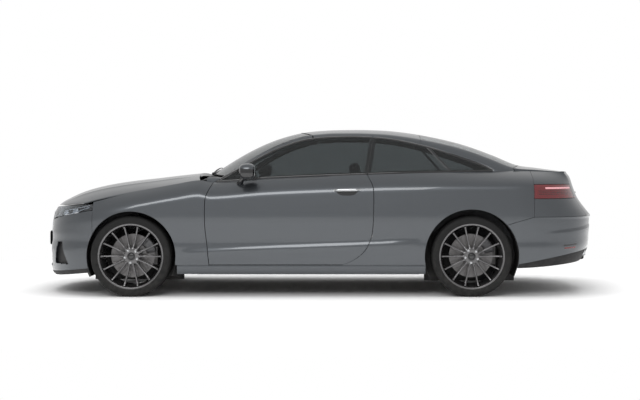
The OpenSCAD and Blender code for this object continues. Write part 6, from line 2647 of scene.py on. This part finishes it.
@dataclass
class Studio:
    """A plain pale floor, soft light and the camera."""

    eye: Sequence[float] = (0.398, -11.01, 1.10)
    lens_mm: float = 67.56
    shift: Sequence[float] = (-0.0703, -0.0528)
    floor_radius: float = 40.0
    floor_steps: int = 96
    sky: float = 0.62

    def build(self) -> None:
        """Places the floor, the lamps, the world and the camera."""
        self._floor()
        self._world()
        self._lamp("top_light", (0.0, 0.0, 6.5), (0.0, 0.0, 0.0), (9.0, 5.0), 400)
        self._lamp("side_light", (-1.5, -8.0, 5.0), (0.0, 0.0, 0.6), (6.0, 3.0), 260, mirrored=True)
        self._lamp("back_light", (2.0, 8.0, 5.0), (0.0, 0.0, 0.6), (6.0, 3.0), 120)
        self._camera()

    def _floor(self) -> None:
        """A round floor whose middle takes the shadow and whose far part is as bright as the background."""
        a = np.arange(self.floor_steps) * 2 * np.pi / self.floor_steps
        rim = point(self.floor_radius * np.cos(a), self.floor_radius * np.sin(a), -0.0005 + 0 * a)
        mesh = bpy.data.meshes.new("floor")
        mesh.from_pydata(rim.tolist(), [], [list(range(self.floor_steps))])
        material = bpy.data.materials.new("pale_floor")
        material.use_nodes = True
        w = Wiring(material.node_tree)
        shader = material.node_tree.nodes["Principled BSDF"]
        output = material.node_tree.nodes["Material Output"]
        place = w.add("TexCoord").outputs["Object"]
        noise = w.add("TexNoise")
        noise.inputs["Scale"].default_value = 3.0
        w.join(place, noise.inputs["Vector"])
        w.join(
            w.blend(noise.outputs["Fac"], (0.93, 0.93, 0.93, 1), (0.91, 0.91, 0.91, 1)),
            shader.inputs["Base Color"]
        )
        shader.inputs["Roughness"].default_value = 0.9
        shader.inputs["Specular IOR Level"].default_value = 0.0
        flat = w.add("Mapping")
        flat.inputs["Scale"].default_value = (1 / 4.6, 1 / 3.2, 0)
        w.join(place, flat.inputs["Vector"])
        length = w.add("VectorMath", operation="LENGTH")
        w.join(flat.outputs[0], length.inputs[0])
        ramp = w.add("MapRange", interpolation_type="SMOOTHSTEP")
        ramp.inputs["From Min"].default_value = 0.75
        ramp.inputs["From Max"].default_value = 1.25
        w.join(length.outputs["Value"], ramp.inputs["Value"])
        white = w.add("Emission")
        path = w.add("LightPath")
        seen = w.math("ADD", path.outputs["Is Camera Ray"], path.outputs["Is Transmission Ray"], clamp=True)
        mixer = w.add("MixShader")
        w.join(w.math("MULTIPLY", ramp.outputs[0], seen), mixer.inputs[0])
        w.join(shader.outputs[0], mixer.inputs[1])
        w.join(white.outputs[0], mixer.inputs[2])
        w.join(mixer.outputs[0], output.inputs["Surface"])
        mesh.materials.append(material)
        floor = bpy.data.objects.new("floor", mesh)
        bpy.context.scene.collection.objects.link(floor)

    def _world(self) -> None:
        """A white surround for camera and glass rays, dimmer for the rest."""
        world = bpy.data.worlds.new("soft_white_room")
        world.use_nodes = True
        w = Wiring(world.node_tree)
        background = world.node_tree.nodes["Background"]
        background.inputs["Color"].default_value = (1, 1, 1, 1)
        path = w.add("LightPath")
        seen = w.math("ADD", path.outputs["Is Camera Ray"], path.outputs["Is Transmission Ray"], clamp=True)
        strength = w.add("MapRange")
        w.join(seen, strength.inputs["Value"])
        strength.inputs["To Min"].default_value = self.sky
        strength.inputs["To Max"].default_value = 1.0
        w.join(strength.outputs[0], background.inputs["Strength"])
        bpy.context.scene.world = world

    def _lamp(
        self, name: str, place: Sequence[float], aim: Sequence[float], size: Sequence[float], watts: float,
        mirrored: bool = False
    ) -> None:
        """A soft rectangular lamp at a place, facing a point, which shows in the paint only if mirrored."""
        data = bpy.data.lights.new(name, "AREA")
        data.shape = "RECTANGLE"
        data.size, data.size_y = size
        data.energy = watts
        lamp = bpy.data.objects.new(name, data)
        lamp.location = place
        direction = mathutils.Vector(aim) - mathutils.Vector(place)
        lamp.rotation_euler = direction.to_track_quat("-Z", "Y").to_euler()
        lamp.visible_glossy = mirrored
        bpy.context.scene.collection.objects.link(lamp)

    def _camera(self) -> None:
        """The camera, seen from the left side at the height of the windows."""
        data = bpy.data.cameras.new("side_camera")
        data.lens = self.lens_mm
        data.sensor_width = 36
        data.shift_x, data.shift_y = self.shift
        camera = bpy.data.objects.new("side_camera", data)
        camera.location = self.eye
        camera.rotation_euler = (math.radians(90), 0, 0)
        bpy.context.scene.collection.objects.link(camera)
        bpy.context.scene.camera = camera
        bpy.context.scene.view_settings.view_transform = "Standard"


def main() -> None:
    """Builds the car's sub-assemblies in order, then the studio."""
    logging.basicConfig(level=logging.INFO, format="%(name)s %(message)s")
    paints = Paintbox()
    shop = Workshop(paints)
    body = Body()
    Shell(body, shop).build()
    Wheels(shop).build()
    Trim(body, shop).build()
    Cabin(shop).build()
    Underside(shop).build()
    Studio().build()


if __name__ == "__main__":
    main()
